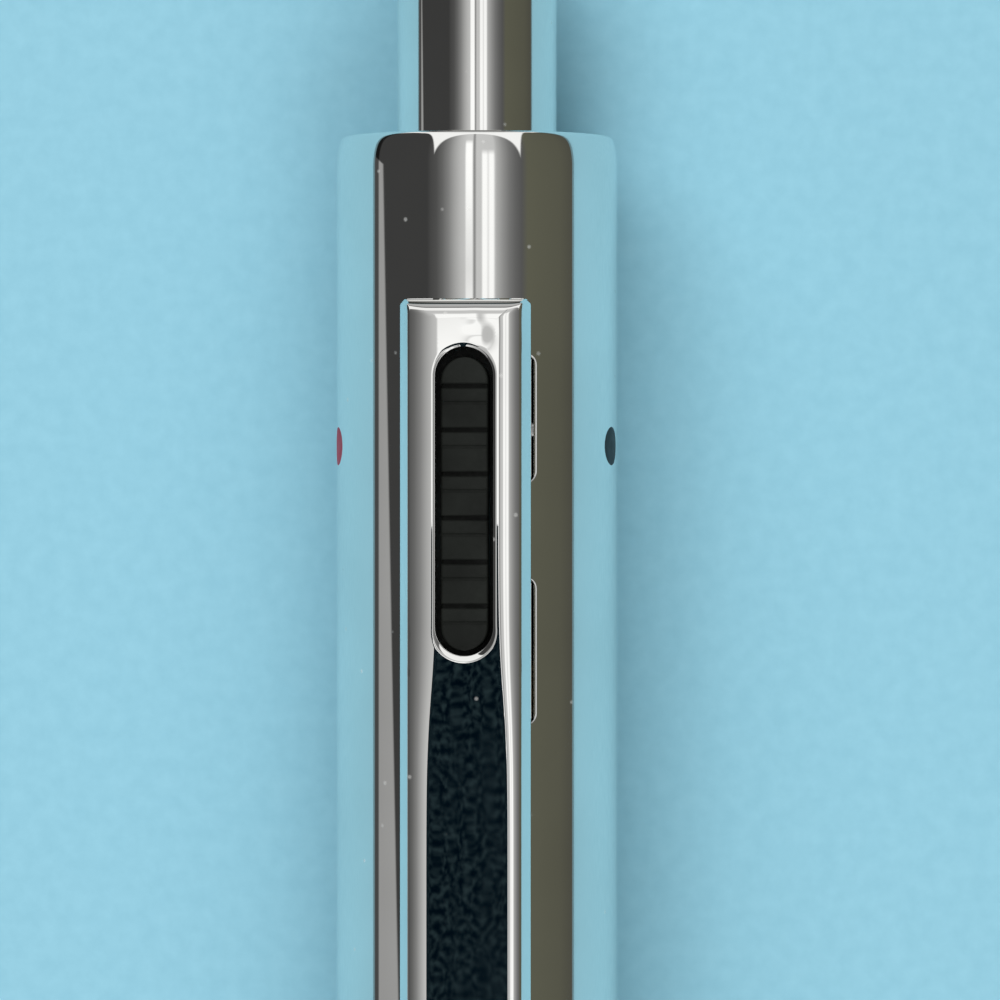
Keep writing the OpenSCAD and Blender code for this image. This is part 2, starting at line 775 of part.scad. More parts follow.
// The metal point of a ball refill, with its ball
module ball_point(angle) {
    color("silver") lay() on_line(angle) translate([0, 0, tip_inset]) rotate_extrude() polygon([
        [0, 0], [ball_d / 2, ball_out], [point_d / 2, point_cone], [point_d / 2, point_neck],
        [refill_d / 2, point_len], [0, point_len]
    ]);
}

module red_refill() {
    color("firebrick") ball_refill(red_angle);
}

module red_point() {
    ball_point(red_angle);
}

module black_refill() {
    color("black") ball_refill(black_angle);
}

module black_point() {
    ball_point(black_angle);
}

module pencil_tube() {
    low = tip_inset + sleeve_len + cone_len;
    color("silver") lay() on_line(pencil_angle)
        tube(pencil_d / 2, pencil_d / 2 - pencil_wall, low, refill_end);
}

module pencil_cone() {
    low = tip_inset + sleeve_len;
    color("goldenrod") lay() on_line(pencil_angle) rotate_extrude() polygon([
        [lead_d / 2 + run_fit, low], [sleeve_d / 2, low], [pencil_d / 2, low + cone_len],
        [lead_d / 2 + run_fit, low + cone_len]
    ]);
}

module pencil_sleeve() {
    color("silver") lay() on_line(pencil_angle)
        tube(sleeve_d / 2, lead_d / 2 + run_fit, tip_inset, tip_inset + sleeve_len);
}

module pencil_lead() {
    color("dimgray") lay() on_line(pencil_angle) translate([0, 0, tip_inset])
        cylinder(d = lead_d, h = lead_len);
}

upper_barrel();
lower_barrel();
nose_cone();
joint_ring();
thread_sleeve();
push_knob();
knob_plunger();
pivot_washer();
knob_spring();
spring_seat();
selector_weight();
mechanism_core();
release_leaf();
release_button();
clip();
clip_pin();
clip_spring();
mark_red();
mark_black();
pencil_slider();
red_slider();
black_slider();
pencil_spring();
red_spring();
black_spring();
pencil_tube();
pencil_cone();
pencil_sleeve();
pencil_lead();
red_refill();
red_point();
black_refill();
black_point();
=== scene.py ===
import json
import math

import bpy
import numpy as np
from mathutils import Matrix, Vector

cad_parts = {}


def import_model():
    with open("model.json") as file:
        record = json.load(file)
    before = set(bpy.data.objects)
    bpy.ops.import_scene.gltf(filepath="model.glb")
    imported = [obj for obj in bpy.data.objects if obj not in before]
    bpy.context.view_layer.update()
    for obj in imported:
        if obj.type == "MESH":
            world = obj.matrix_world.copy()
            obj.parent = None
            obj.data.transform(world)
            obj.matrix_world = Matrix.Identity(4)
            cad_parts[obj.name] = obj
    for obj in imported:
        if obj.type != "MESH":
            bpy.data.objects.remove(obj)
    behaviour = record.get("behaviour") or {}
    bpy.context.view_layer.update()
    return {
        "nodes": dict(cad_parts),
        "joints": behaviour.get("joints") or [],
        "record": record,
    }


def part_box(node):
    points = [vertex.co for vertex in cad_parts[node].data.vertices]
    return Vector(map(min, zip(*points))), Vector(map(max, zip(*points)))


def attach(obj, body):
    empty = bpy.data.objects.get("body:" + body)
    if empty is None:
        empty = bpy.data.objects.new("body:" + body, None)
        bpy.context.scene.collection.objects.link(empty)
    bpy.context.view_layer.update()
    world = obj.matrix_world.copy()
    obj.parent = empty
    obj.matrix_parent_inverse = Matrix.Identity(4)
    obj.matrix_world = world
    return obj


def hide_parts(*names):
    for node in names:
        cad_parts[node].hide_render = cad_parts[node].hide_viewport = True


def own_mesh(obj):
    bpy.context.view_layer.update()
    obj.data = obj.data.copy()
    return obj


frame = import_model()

MM = 0.001


# Places on the pen, in millimetres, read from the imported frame

def node_box(node):
    """A node's low and high corners."""
    low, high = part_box(node)
    return np.array(low) / MM, np.array(high) / MM


UPPER_LOW, UPPER_HIGH = node_box("upper_barrel")
LOWER_LOW, LOWER_HIGH = node_box("lower_barrel")
NOSE_LOW, _ = node_box("nose_cone")
RING_LOW, RING_HIGH = node_box("joint_ring")
KNOB_LOW, KNOB_HIGH = node_box("push_knob")
CLIP_LOW, CLIP_HIGH = node_box("clip")
BUTTON_LOW, BUTTON_HIGH = node_box("release_button")
MARK_LOW, MARK_HIGH = node_box("mark_black")
SEAT_LOW, SEAT_HIGH = node_box("spring_seat")
JOINTS = {joint["name"]: joint for joint in frame["joints"]}

BARREL_R = (UPPER_HIGH[0] - UPPER_LOW[0]) / 2
BORE_R = (SEAT_HIGH[0] - SEAT_LOW[0]) / 2
AXIS_Z = UPPER_LOW[2] + BARREL_R
TURN_STEPS = 288
ARC_STEPS = 8
WELD = 1e-4


# Meshes made of patches, with a true normal at every face corner

class Patches:
    """Quads with their corners and corner normals, welded into one mesh at the end."""

    def __init__(self):
        self.corners = []
        self.normals = []

    def grid(self, points, normals):
        """A patch from a grid of points, rows by columns, with a normal for each point."""
        points, normals = np.asarray(points, float), np.asarray(normals, float)
        order = ((slice(None, -1), slice(None, -1)), (slice(None, -1), slice(1, None)),
                 (slice(1, None), slice(1, None)), (slice(1, None), slice(None, -1)))
        self.quads(np.stack([points[o] for o in order], 2).reshape(-1, 4, 3),
                   np.stack([normals[o] for o in order], 2).reshape(-1, 4, 3))

    def quads(self, corners, normals):
        """Loose quads, turned so that each faces the way that its normals point."""
        across = np.cross(corners[:, 2] - corners[:, 0], corners[:, 3] - corners[:, 1])
        back = np.einsum("ij,ij->i", across, normals.sum(1)) < 0
        corners[back] = corners[back][:, ::-1]
        normals[back] = normals[back][:, ::-1]
        self.corners.append(corners)
        self.normals.append(normals)

    def box(self, low, high):
        """A closed box."""
        low, high = np.array(low, float), np.array(high, float)
        for axis in range(3):
            for end, sign in ((low, -1), (high, 1)):
                u, v = [a for a in range(3) if a != axis]
                spots = []
                for pu, pv in ((low, low), (high, low), (high, high), (low, high)):
                    spot = end.copy()
                    spot[u], spot[v] = pu[u], pv[v]
                    spots.append(spot)
                normal = np.zeros(3)
                normal[axis] = sign
                self.quads(np.array(spots)[None], np.tile(normal, (1, 4, 1)))

    def build(self, name, crease=None):
        """The welded mesh as an object in metres; with a crease angle, edges past it are sharp instead."""
        corners = np.concatenate(self.corners)
        normals = np.concatenate(self.normals)
        keys = np.round(corners.reshape(-1, 3) / WELD).astype(np.int64)
        _, first, index = np.unique(keys, axis=0, return_index=True, return_inverse=True)
        spots = corners.reshape(-1, 3)[first] * MM
        faces, face_normals = [], []
        for face, sides in zip(index.reshape(-1, 4), normals):
            keep = [k for k in range(4) if face[k] != face[k - 1]]
            if len(set(face[keep])) > 2:
                faces.append([int(face[k]) for k in keep])
                face_normals.extend(sides[k] for k in keep)
        mesh = bpy.data.meshes.new(name)
        mesh.from_pydata([tuple(s) for s in spots], [], faces)
        mesh.shade_smooth()
        if crease is None:
            lengths = np.linalg.norm(face_normals, axis=1, keepdims=True)
            mesh.normals_split_custom_set((np.array(face_normals) / lengths).tolist())
        else:
            mesh.set_sharp_from_angle(angle=math.radians(crease))
        piece = bpy.data.objects.new(name, mesh)
        bpy.context.scene.collection.objects.link(piece)
        return piece


def rounded(corners, steps=ARC_STEPS):
    """A path through (a, b, radius) corners as (spot, normal before, normal after), normals on the right."""
    spots = np.array([c[:2] for c in corners], float)
    along = np.diff(spots, axis=0)
    along /= np.linalg.norm(along, axis=1, keepdims=True)
    sides = np.stack([along[:, 1], -along[:, 0]], 1)
    path = [(spots[0], sides[0], sides[0])]
    for i in range(1, len(corners) - 1):
        ahead, side, radius = along[i - 1], sides[i - 1], corners[i][2]
        if radius <= 0:
            path.append((spots[i], side, sides[i]))
            continue
        cross = ahead[0] * along[i][1] - ahead[1] * along[i][0]
        turn = math.atan2(cross, float(ahead @ along[i]))
        sign = 1 if turn > 0 else -1
        centre = spots[i] - ahead * radius * math.tan(abs(turn) / 2) - sign * side * radius
        for k in range(steps + 1):
            c, s = math.cos(turn * k / steps), math.sin(turn * k / steps)
            normal = np.array([side[0] * c - side[1] * s, side[0] * s + side[1] * c])
            path.append((centre + sign * normal * radius, normal, normal))
    path.append((spots[-1], sides[-1], sides[-1]))
    return path


def round_spot(radius, angle, y):
    """A point on the pen at a radius, an angle from the clip's side towards +X, and a place along it."""
    return np.stack(np.broadcast_arrays(radius * np.sin(angle), y, AXIS_Z + radius * np.cos(angle)), -1)


def round_normal(outward, forward, angle):
    """A direction there, from its part away from the axis and its part along the pen."""
    return np.stack(np.broadcast_arrays(outward * np.sin(angle), forward, outward * np.cos(angle)), -1)


def revolve(patches, corners, steps=ARC_STEPS):
    """Turns a path of (radius, y, rounding) corners round the pen's axis."""
    revolve_path(patches, rounded(corners, steps))


def revolve_path(patches, path):
    """Turns a path with its normals round the pen's axis."""
    angles = np.linspace(0, 2 * math.pi, TURN_STEPS + 1)
    for (low, _, low_normal), (high, high_normal, _) in zip(path, path[1:]):
        patches.grid([round_spot(low[0], angles, low[1]), round_spot(high[0], angles, high[1])],
                     [round_normal(low_normal[0], low_normal[1], angles),
                      round_normal(high_normal[0], high_normal[1], angles)])


# Materials

def new_material(name):
    """A Principled material, with its nodes, links, shader and texture coordinates."""
    made = bpy.data.materials.new(name)
    made.use_nodes = True
    nodes, links = made.node_tree.nodes, made.node_tree.links
    shader = nodes["Principled BSDF"]
    place = nodes.new("ShaderNodeTexCoord")
    return made, nodes, links, shader, place


def noise(nodes, links, place, scale, stretch=(1, 1, 1), detail=4.0):
    """Noise in the piece's own space; the scale is in features per metre."""
    mapping = nodes.new("ShaderNodeMapping")
    mapping.inputs["Scale"].default_value = stretch
    texture = nodes.new("ShaderNodeTexNoise")
    texture.inputs["Scale"].default_value = scale
    texture.inputs["Detail"].default_value = detail
    links.new(place.outputs["Object"], mapping.inputs["Vector"])
    links.new(mapping.outputs["Vector"], texture.inputs["Vector"])
    return texture.outputs["Fac"]


def ramp(nodes, links, value, stops):
    """A colour ramp of (place, grey or colour) stops."""
    made = nodes.new("ShaderNodeValToRGB")
    elements = made.color_ramp.elements
    while len(elements) < len(stops):
        elements.new(0.5)
    for element, (place, tone) in zip(elements, stops):
        element.position = place
        element.color = (*tone, 1) if isinstance(tone, tuple) else (tone, tone, tone, 1)
    links.new(value, made.inputs["Fac"])
    return made.outputs["Color"]


def bump(nodes, links, shader, height, strength, depth_mm):
    """Feeds a height of a depth to the shader's normal."""
    made = nodes.new("ShaderNodeBump")
    made.inputs["Strength"].default_value = strength
    made.inputs["Distance"].default_value = depth_mm * MM
    links.new(height, made.inputs["Height"])
    links.new(made.outputs["Normal"], shader.inputs["Normal"])


# Texture scales in features per metre
SMUDGES = 160
STREAKS = 700
WAVES = 420
WAVE_STRETCH = (1, 0.35, 1)
WAVE_STRENGTH = 0.5
MOTTLE = 500
GRAIN_STRENGTH = 0.6
# Dust, as the distance from a cell's middle and how metallic the surface is there
SPECKS = 620.0
SPECK_TONES = [(0.03, 0.72), (0.065, 1.0)]


def metal(name, dark, light, rough, streaks, wave_mm, specks=0.0):
    """A bare or plated metal: smudges, fine streaks, a slight waviness and, on request, specks of dust."""
    made, nodes, links, shader, place = new_material(name)
    shader.inputs["Metallic"].default_value = 1.0
    clouds = noise(nodes, links, place, SMUDGES)
    links.new(ramp(nodes, links, clouds, [(0.35, dark), (0.65, light)]), shader.inputs["Base Color"])
    fine = noise(nodes, links, place, STREAKS, streaks, 6.0)
    mix = nodes.new("ShaderNodeMath")
    mix.operation = "MULTIPLY"
    links.new(clouds, mix.inputs[0])
    links.new(fine, mix.inputs[1])
    tones = [(0.12, rough[0]), (0.3, (rough[0] + rough[1]) / 2), (0.5, rough[1])]
    links.new(ramp(nodes, links, mix.outputs[0], tones), shader.inputs["Roughness"])
    if specks:
        cells = nodes.new("ShaderNodeTexVoronoi")
        cells.inputs["Scale"].default_value = specks
        links.new(place.outputs["Object"], cells.inputs["Vector"])
        dust = ramp(nodes, links, cells.outputs["Distance"], SPECK_TONES)
        links.new(dust, shader.inputs["Metallic"])
    waves = noise(nodes, links, place, WAVES, WAVE_STRETCH, 2.0)
    bump(nodes, links, shader, waves, WAVE_STRENGTH, wave_mm)
    return made


def moulded(name, dark, light, rough, grain, depth_mm, gloss=0.5):
    """A moulded or enamelled surface: mottled colour, uneven gloss and a fine grain."""
    made, nodes, links, shader, place = new_material(name)
    shader.inputs["Specular IOR Level"].default_value = gloss
    clouds = noise(nodes, links, place, MOTTLE)
    links.new(ramp(nodes, links, clouds, [(0.3, dark), (0.7, light)]), shader.inputs["Base Color"])
    fine = noise(nodes, links, place, grain, (1, 1, 1), 6.0)
    links.new(ramp(nodes, links, fine, [(0.3, rough[0]), (0.7, rough[1])]), shader.inputs["Roughness"])
    bump(nodes, links, shader, fine, GRAIN_STRENGTH, depth_mm)
    return made


ALONG = (1.0, 0.04, 1.0)
EVEN = (1, 1, 1)
CHROME = ((0.80, 0.80, 0.78), (0.86, 0.86, 0.84))
CHROME_ROUGH = (0.02, 0.06)
CLIP_ROUGH = (0.008, 0.026)
CHROME_WAVE = 0.0006
CLIP_WAVE = 0.004
# Each metal's dark and light tone, roughness, streaks, depth of waviness in millimetres and specks
METALS = {
    "chrome": (*CHROME, CHROME_ROUGH, ALONG, CHROME_WAVE, SPECKS),
    "steel": ((0.52, 0.52, 0.52), (0.64, 0.64, 0.63), (0.18, 0.34), ALONG, 0.002),
    "brass": ((0.66, 0.49, 0.22), (0.78, 0.61, 0.31), (0.16, 0.30), EVEN, 0.002),
    "refill_tube": ((0.66, 0.53, 0.28), (0.76, 0.64, 0.38), (0.2, 0.35), ALONG, 0.002),
}
# Each moulding's dark and light tone, roughness, grain, its depth in millimetres and gloss
MOULDINGS = {
    "black_plastic": ((0.006, 0.007, 0.006), (0.013, 0.015, 0.013), (0.42, 0.62), 5200, 0.008, 0.2),
    "red_enamel": ((0.30, 0.010, 0.03), (0.42, 0.018, 0.05), (0.4, 0.5), 2600, 0.002, 0.2),
    "black_enamel": ((0.006, 0.007, 0.009), (0.016, 0.018, 0.022), (0.4, 0.5), 2600, 0.002, 0.2),
    "core_plastic": ((0.68, 0.66, 0.60), (0.80, 0.78, 0.72), (0.4, 0.55), 2400, 0.006),
    "grey_plastic": ((0.20, 0.20, 0.21), (0.28, 0.28, 0.29), (0.4, 0.55), 2400, 0.006),
    "red_plastic": ((0.42, 0.035, 0.035), (0.54, 0.06, 0.06), (0.4, 0.55), 2400, 0.006),
    "graphite": ((0.045, 0.045, 0.05), (0.08, 0.08, 0.085), (0.35, 0.5), 4000, 0.004),
}
MATERIALS = {slot: metal(slot, *finish) for slot, finish in METALS.items()}
MATERIALS |= {slot: moulded(slot, *finish) for slot, finish in MOULDINGS.items()}
for part in frame["record"]["subparts"]:
    surface = frame["nodes"][part["node"]].data
    surface.materials.clear()
    surface.materials.append(MATERIALS[part["material_slot"]])


def place_piece(patches, name, body, slot, *nodes, crease=None):
    """Builds a piece that stands for CAD nodes, on their body and with their finish."""
    piece = patches.build(name, crease)
    piece.data.materials.append(MATERIALS[slot])
    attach(piece, body)
    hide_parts(*nodes)
    return piece


# Push knob, with a crowned end

KNOB_R = (KNOB_HIGH[0] - KNOB_LOW[0]) / 2
KNOB_EDGE = 0.6
KNOB_FOOT = 0.1
KNOB_CROWN = 0.12
KNOB_CROWN_R = 3.0


def knob_piece():
    patches = Patches()
    top, low = KNOB_HIGH[1], KNOB_LOW[1]
    revolve(patches, [(0, low, 0), (KNOB_R, low, KNOB_FOOT), (KNOB_R, top - KNOB_CROWN, KNOB_EDGE),
                      (KNOB_R / 2, top - KNOB_CROWN / 4, KNOB_CROWN_R), (0, top, 0)])
    return place_piece(patches, "knob_shell", "knob", "chrome", "push_knob")


knob_piece()


# Upper barrel, with the slots under the clip

TOP_EDGE = 0.27
TOP_ROLL = 1.25
ROLL_STEPS = 33
KNOB_GAP = 0.1
KNOB_HOLE_R = KNOB_R + KNOB_GAP
KNOB_HOLE_EDGE = 0.08
TOP_WALL = 1.6
SLOT_SHOW = 0.06
SLOT_CORNER = 0.4
SLOT_LIP = 0.1
SLOT_LIP_STEPS = 7
SLOT_MARGIN = 0.2
CLIP_HALF = (CLIP_HIGH[0] - CLIP_LOW[0]) / 2
LEG_SLOT_HALF = CLIP_HALF + SLOT_SHOW
HINGE_Y = JOINTS["clip_lift"]["pos_m"][1] / MM
HINGE_LEG_SHIFT = 0.45
STOP_DISTANCE = 8.5
HINGE_LEG_Y = HINGE_Y + HINGE_LEG_SHIFT
STOP_Y = HINGE_Y - STOP_DISTANCE
HINGE_SLOT_HALF = 2.45
STOP_SLOT_HALF = 2.8
HINGE_SLOT = (HINGE_LEG_Y - HINGE_SLOT_HALF, HINGE_LEG_Y + HINGE_SLOT_HALF)
STOP_SLOT = (STOP_Y - STOP_SLOT_HALF, STOP_Y + STOP_SLOT_HALF)
BUTTON_GAP = 0.1
BUTTON_SLOT_HALF = (BUTTON_HIGH[0] - BUTTON_LOW[0]) / 2 + BUTTON_GAP
BUTTON_SLOT = (BUTTON_LOW[1] - BUTTON_GAP, BUTTON_HIGH[1] + BUTTON_GAP)


def slot_rim(patches, corners):
    """The rolled edge of a leg slot along (x, y, rounding) corners, and the wall down to the bore."""
    path = rounded(corners)
    spots = np.array([spot for spot, _, _ in path])
    sides = np.array([side for _, side, _ in path])
    square = sides / abs(sides).max(1, keepdims=True)
    border = spots - sides * SLOT_CORNER + square * (SLOT_CORNER + SLOT_MARGIN)
    depths = SLOT_LIP * (1 - np.sin(np.linspace(math.pi / 2, 0, SLOT_LIP_STEPS)))
    rows = [spots + sides * depth for depth in depths] + [border]
    drops = [SLOT_LIP - math.sqrt(SLOT_LIP ** 2 - (SLOT_LIP - depth) ** 2) for depth in depths] + [0]
    points, normals = [], []
    for row, drop in zip(rows, drops):
        angle = np.arcsin(row[:, 0] / BARREL_R)
        lean = math.acos(1 - drop / SLOT_LIP)
        points.append(round_spot(BARREL_R - drop, angle, row[:, 1]))
        tangent = np.stack([sides[:, 0] * np.cos(angle), sides[:, 1], -sides[:, 0] * np.sin(angle)], -1)
        normals.append(round_normal(1.0, 0.0, angle) * math.cos(lean) - tangent * math.sin(lean))
    patches.grid(points, normals)
    foot = points[0].copy()
    foot[:, 2] = AXIS_Z + np.sqrt(np.maximum(BORE_R ** 2 - foot[:, 0] ** 2, 0))
    wall = np.stack([-sides[:, 0], -sides[:, 1], np.zeros(len(sides))], -1)
    patches.grid([points[0], foot], [wall, wall])


def slot_rims(patches):
    """The rims of the slots that take the clip's hinge legs and stop legs."""
    outer, inner, bend = LEG_SLOT_HALF, BUTTON_SLOT_HALF, SLOT_CORNER
    low, high = HINGE_SLOT
    slot_rim(patches, [(inner, low, 0), (outer, low, bend), (outer, high, bend), (inner, high, 0)])
    slot_rim(patches, [(-inner, high, 0), (-outer, high, bend), (-outer, low, bend), (-inner, low, 0)])
    low, high = STOP_SLOT
    slot_rim(patches, [(-inner, high, 0), (-outer, high, bend), (-outer, low, bend),
                       (outer, low, bend), (outer, high, bend), (inner, high, 0)])


def barrel_wall(patches, low, high):
    """The barrel's round wall, open at the button's slot and round the rims of the leg slots."""
    leg_half = LEG_SLOT_HALF + SLOT_MARGIN
    rows = {low, high, *BUTTON_SLOT}
    for slot in (HINGE_SLOT, STOP_SLOT):
        rows |= {slot[0] - SLOT_MARGIN, slot[1] + SLOT_MARGIN}
    rows = np.array(sorted(rows))
    angles = np.linspace(-math.pi, math.pi, TURN_STEPS + 1)
    for half in (leg_half, BUTTON_SLOT_HALF):
        for cut in (-math.asin(half / BARREL_R), math.asin(half / BARREL_R)):
            angles[np.argmin(abs(angles - cut))] = cut
    outer = round_spot(BARREL_R, angles[None], rows[:, None])
    normal = round_normal(1.0, 0.0, angles)
    inner_z = AXIS_Z + np.sqrt(np.maximum(BORE_R ** 2 - (BARREL_R * np.sin(angles)) ** 2, 0))
    for i, y in enumerate((rows[1:] + rows[:-1]) / 2):
        in_legs = any(slot[0] - SLOT_MARGIN < y < slot[1] + SLOT_MARGIN for slot in (HINGE_SLOT, STOP_SLOT))
        in_button = BUTTON_SLOT[0] < y < BUTTON_SLOT[1]
        for j, angle in enumerate((angles[1:] + angles[:-1]) / 2):
            reach = abs(BARREL_R * math.sin(angle)) if abs(angle) < math.pi / 2 else BARREL_R
            if not (in_legs and reach < leg_half or in_button and reach < BUTTON_SLOT_HALF):
                patches.grid(outer[i:i + 2, j:j + 2], [normal[j:j + 2]] * 2)
        if in_button and not in_legs:
            for cut in (-math.asin(BUTTON_SLOT_HALF / BARREL_R), math.asin(BUTTON_SLOT_HALF / BARREL_R)):
                j = int(np.argmin(abs(angles - cut)))
                edge = outer[i:i + 2, j]
                foot = edge.copy()
                foot[:, 2] = inner_z[j]
                inward = np.array([-math.copysign(1.0, cut), 0.0, 0.0])
                patches.grid([edge, foot], np.tile(inward, (2, 2, 1)))


def upper_barrel_piece():
    patches = Patches()
    low, top = UPPER_LOW[1], UPPER_HIGH[1]
    barrel_wall(patches, low, top - TOP_ROLL)
    slot_rims(patches)
    roll = []
    for a in np.linspace(0, math.pi / 2, ROLL_STEPS):
        spot = np.array([BARREL_R - TOP_EDGE * (1 - math.cos(a)), top - TOP_ROLL * (1 - math.sin(a))])
        normal = np.array([math.cos(a) / TOP_EDGE, math.sin(a) / TOP_ROLL])
        normal /= np.linalg.norm(normal)
        roll.append((spot, normal, normal))
    revolve_path(patches, roll)
    revolve(patches, [(BARREL_R - TOP_EDGE, top, 0), (KNOB_HOLE_R, top, KNOB_HOLE_EDGE),
                      (KNOB_HOLE_R, top - TOP_WALL, 0), (BORE_R, top - TOP_WALL, 0)])
    revolve(patches, [(BORE_R, low, 0), (BARREL_R, low, 0)])
    return place_piece(patches, "upper_shell", "barrel", "chrome", "upper_barrel")


upper_barrel_piece()


# Lower half: the barrel, the recessed ring at the joint and the nose

TIP_Y = NOSE_LOW[1]
TIP_R = 2.6
TAPER_LEN = 38.0
TAPER_DROP = BARREL_R - TIP_R
TAPER_R = (TAPER_LEN ** 2 + TAPER_DROP ** 2) / (2 * TAPER_DROP)
NOSE_TOP = LOWER_LOW[1]
SEAM = 0.12
SEAM_DEPTH = 1.0
TIP_EDGE = 0.22
EXIT_R = 1.97
EXIT_EDGE = 0.08
EXIT_LIP = 1.2
EXIT_BEND = 0.2
THROAT_R = 2.7
THROAT_LEN = 3.8
THROAT_BEND = 0.5
RING_EDGE = 0.06
TAPER_STEP = 0.8


def taper_radius(y):
    """Radius of the lower half at a place along it."""
    rest = max(TAPER_LEN - (y - TIP_Y), 0.0)
    return BARREL_R - TAPER_R + math.sqrt(TAPER_R ** 2 - rest ** 2)


def taper_path(low, high):
    """The long arc of the lower half as path points with their normals."""
    path = []
    for y in np.linspace(low, high, max(2, round((high - low) / TAPER_STEP))):
        rest = max(TAPER_LEN - (y - TIP_Y), 0.0) / TAPER_R
        normal = np.array([math.sqrt(1 - rest ** 2), -rest])
        path.append((np.array([taper_radius(y), y]), normal, normal))
    return path


def lower_barrel_piece():
    patches = Patches()
    low, top = LOWER_LOW[1], LOWER_HIGH[1]
    start = taper_radius(low + SEAM)
    revolve(patches, [(start - SEAM_DEPTH, low + SEAM / 2, 0), (start - SEAM / 2, low + SEAM / 2, 0),
                      (start, low + SEAM, 0)])
    revolve_path(patches, taper_path(low + SEAM, TIP_Y + TAPER_LEN))
    revolve(patches, [(BARREL_R, TIP_Y + TAPER_LEN, 0), (BARREL_R, top, SEAM), (BORE_R, top, 0)])
    return place_piece(patches, "lower_shell", "barrel", "chrome", "lower_barrel")


def nose_piece():
    patches = Patches()
    edge = taper_radius(TIP_Y + TIP_EDGE)
    revolve(patches, [(THROAT_R, TIP_Y + THROAT_LEN * 3, 0), (THROAT_R, TIP_Y + THROAT_LEN, THROAT_BEND),
                      (EXIT_R, TIP_Y + EXIT_LIP, EXIT_BEND), (EXIT_R, TIP_Y, EXIT_EDGE),
                      (edge, TIP_Y, TIP_EDGE), (edge, TIP_Y + TIP_EDGE, 0)])
    revolve_path(patches, taper_path(TIP_Y + TIP_EDGE, NOSE_TOP - SEAM))
    last = taper_radius(NOSE_TOP - SEAM)
    revolve(patches, [(last, NOSE_TOP - SEAM, 0), (last - SEAM / 2, NOSE_TOP - SEAM / 2, 0),
                      (last - SEAM_DEPTH, NOSE_TOP - SEAM / 2, 0)])
    return place_piece(patches, "nose_shell", "barrel", "chrome", "nose_cone")


def ring_piece():
    patches = Patches()
    ring_r = (RING_HIGH[0] - RING_LOW[0]) / 2
    revolve(patches, [(BORE_R, RING_LOW[1], 0), (ring_r, RING_LOW[1], RING_EDGE),
                      (ring_r, RING_HIGH[1], RING_EDGE), (BORE_R, RING_HIGH[1], 0)])
    return place_piece(patches, "joint_band", "barrel", "chrome", "joint_ring")


lower_barrel_piece()
nose_piece()
ring_piece()


# Clip: a bar with bevelled, crowned sides, rounded ends and a rim round its window

CLIP_T = 1.1
CROWN_REACHES = (1.12, 0.86)
CROWN_SLOPES = (0.21, 0.36)
BEVEL_IN = 0.3
BEVEL_SLOPES = (2.6, 1.2)
BEVEL_EDGE = 0.1
CLIP_END = 0.75
CLIP_CORNER = 0.3
CLIP_BLEND = 3.0
BUTTON_Y = (BUTTON_LOW[1] + BUTTON_HIGH[1]) / 2
BUTTON_DROP = 0.1
WINDOW_Y = BUTTON_Y + BUTTON_DROP
WINDOW_HALF = 1.12
WINDOW_LEN = 11.8
WINDOW_STRAIGHT = WINDOW_LEN - 2 * WINDOW_HALF
WINDOW_LOW = WINDOW_Y - WINDOW_STRAIGHT / 2
WINDOW_TOP = WINDOW_Y + WINDOW_STRAIGHT / 2
RIM_SIDE = 0.09
RIM_LOW = 0.24
RIM_SLOPES = (0.3, 0.52)
RIM_CURVE = 1.1
WINDOW_APRON = 0.8
CLIP_FACE = CLIP_HIGH[2]
CLIP_UNDER = CLIP_FACE - CLIP_T
NEARLY = 0.9997
SWELL = 0.4
SWELL_END = 1.5
SWELL_FADE = 1.2
# Faint dents of the polish above the window, as (place across, place above it, radius, depth)
DENTS = [(0.6, 0.45, 0.4, 0.014), (0.4, 1.1, 0.28, 0.006)]


def slope_drop(u, start, end, start_slope, end_slope):
    """Fall between a place and the end of a stretch whose slope changes evenly."""
    u = np.clip(u, start, end)
    slope = start_slope + (end_slope - start_slope) * (u - start) / (end - start)
    return (slope + end_slope) / 2 * (end - u)


def edge_drop(u, reach, crown):
    """Fall of the clip's outer face at a distance in from its side: bevel, tight edge and slight crown."""
    edge = BEVEL_IN + BEVEL_EDGE
    return (slope_drop(u, 0, BEVEL_IN, *BEVEL_SLOPES) + slope_drop(u, BEVEL_IN, edge, BEVEL_SLOPES[1], crown)
            + slope_drop(u, edge, reach, crown, 0))


def crown_reach(x, y):
    """How far the crown reaches in from the sides: more beside the window than below it."""
    below = WINDOW_LOW - WINDOW_HALF - SWELL_END - y
    return np.where(x < 0, *CROWN_REACHES) + SWELL / (1 + np.exp(below / SWELL_FADE))


def rim_width(down):
    """Width of the rim round the window, which is widest at the window's lower end."""
    return RIM_SIDE + (RIM_LOW - RIM_SIDE) * np.clip(down, 0, 1)


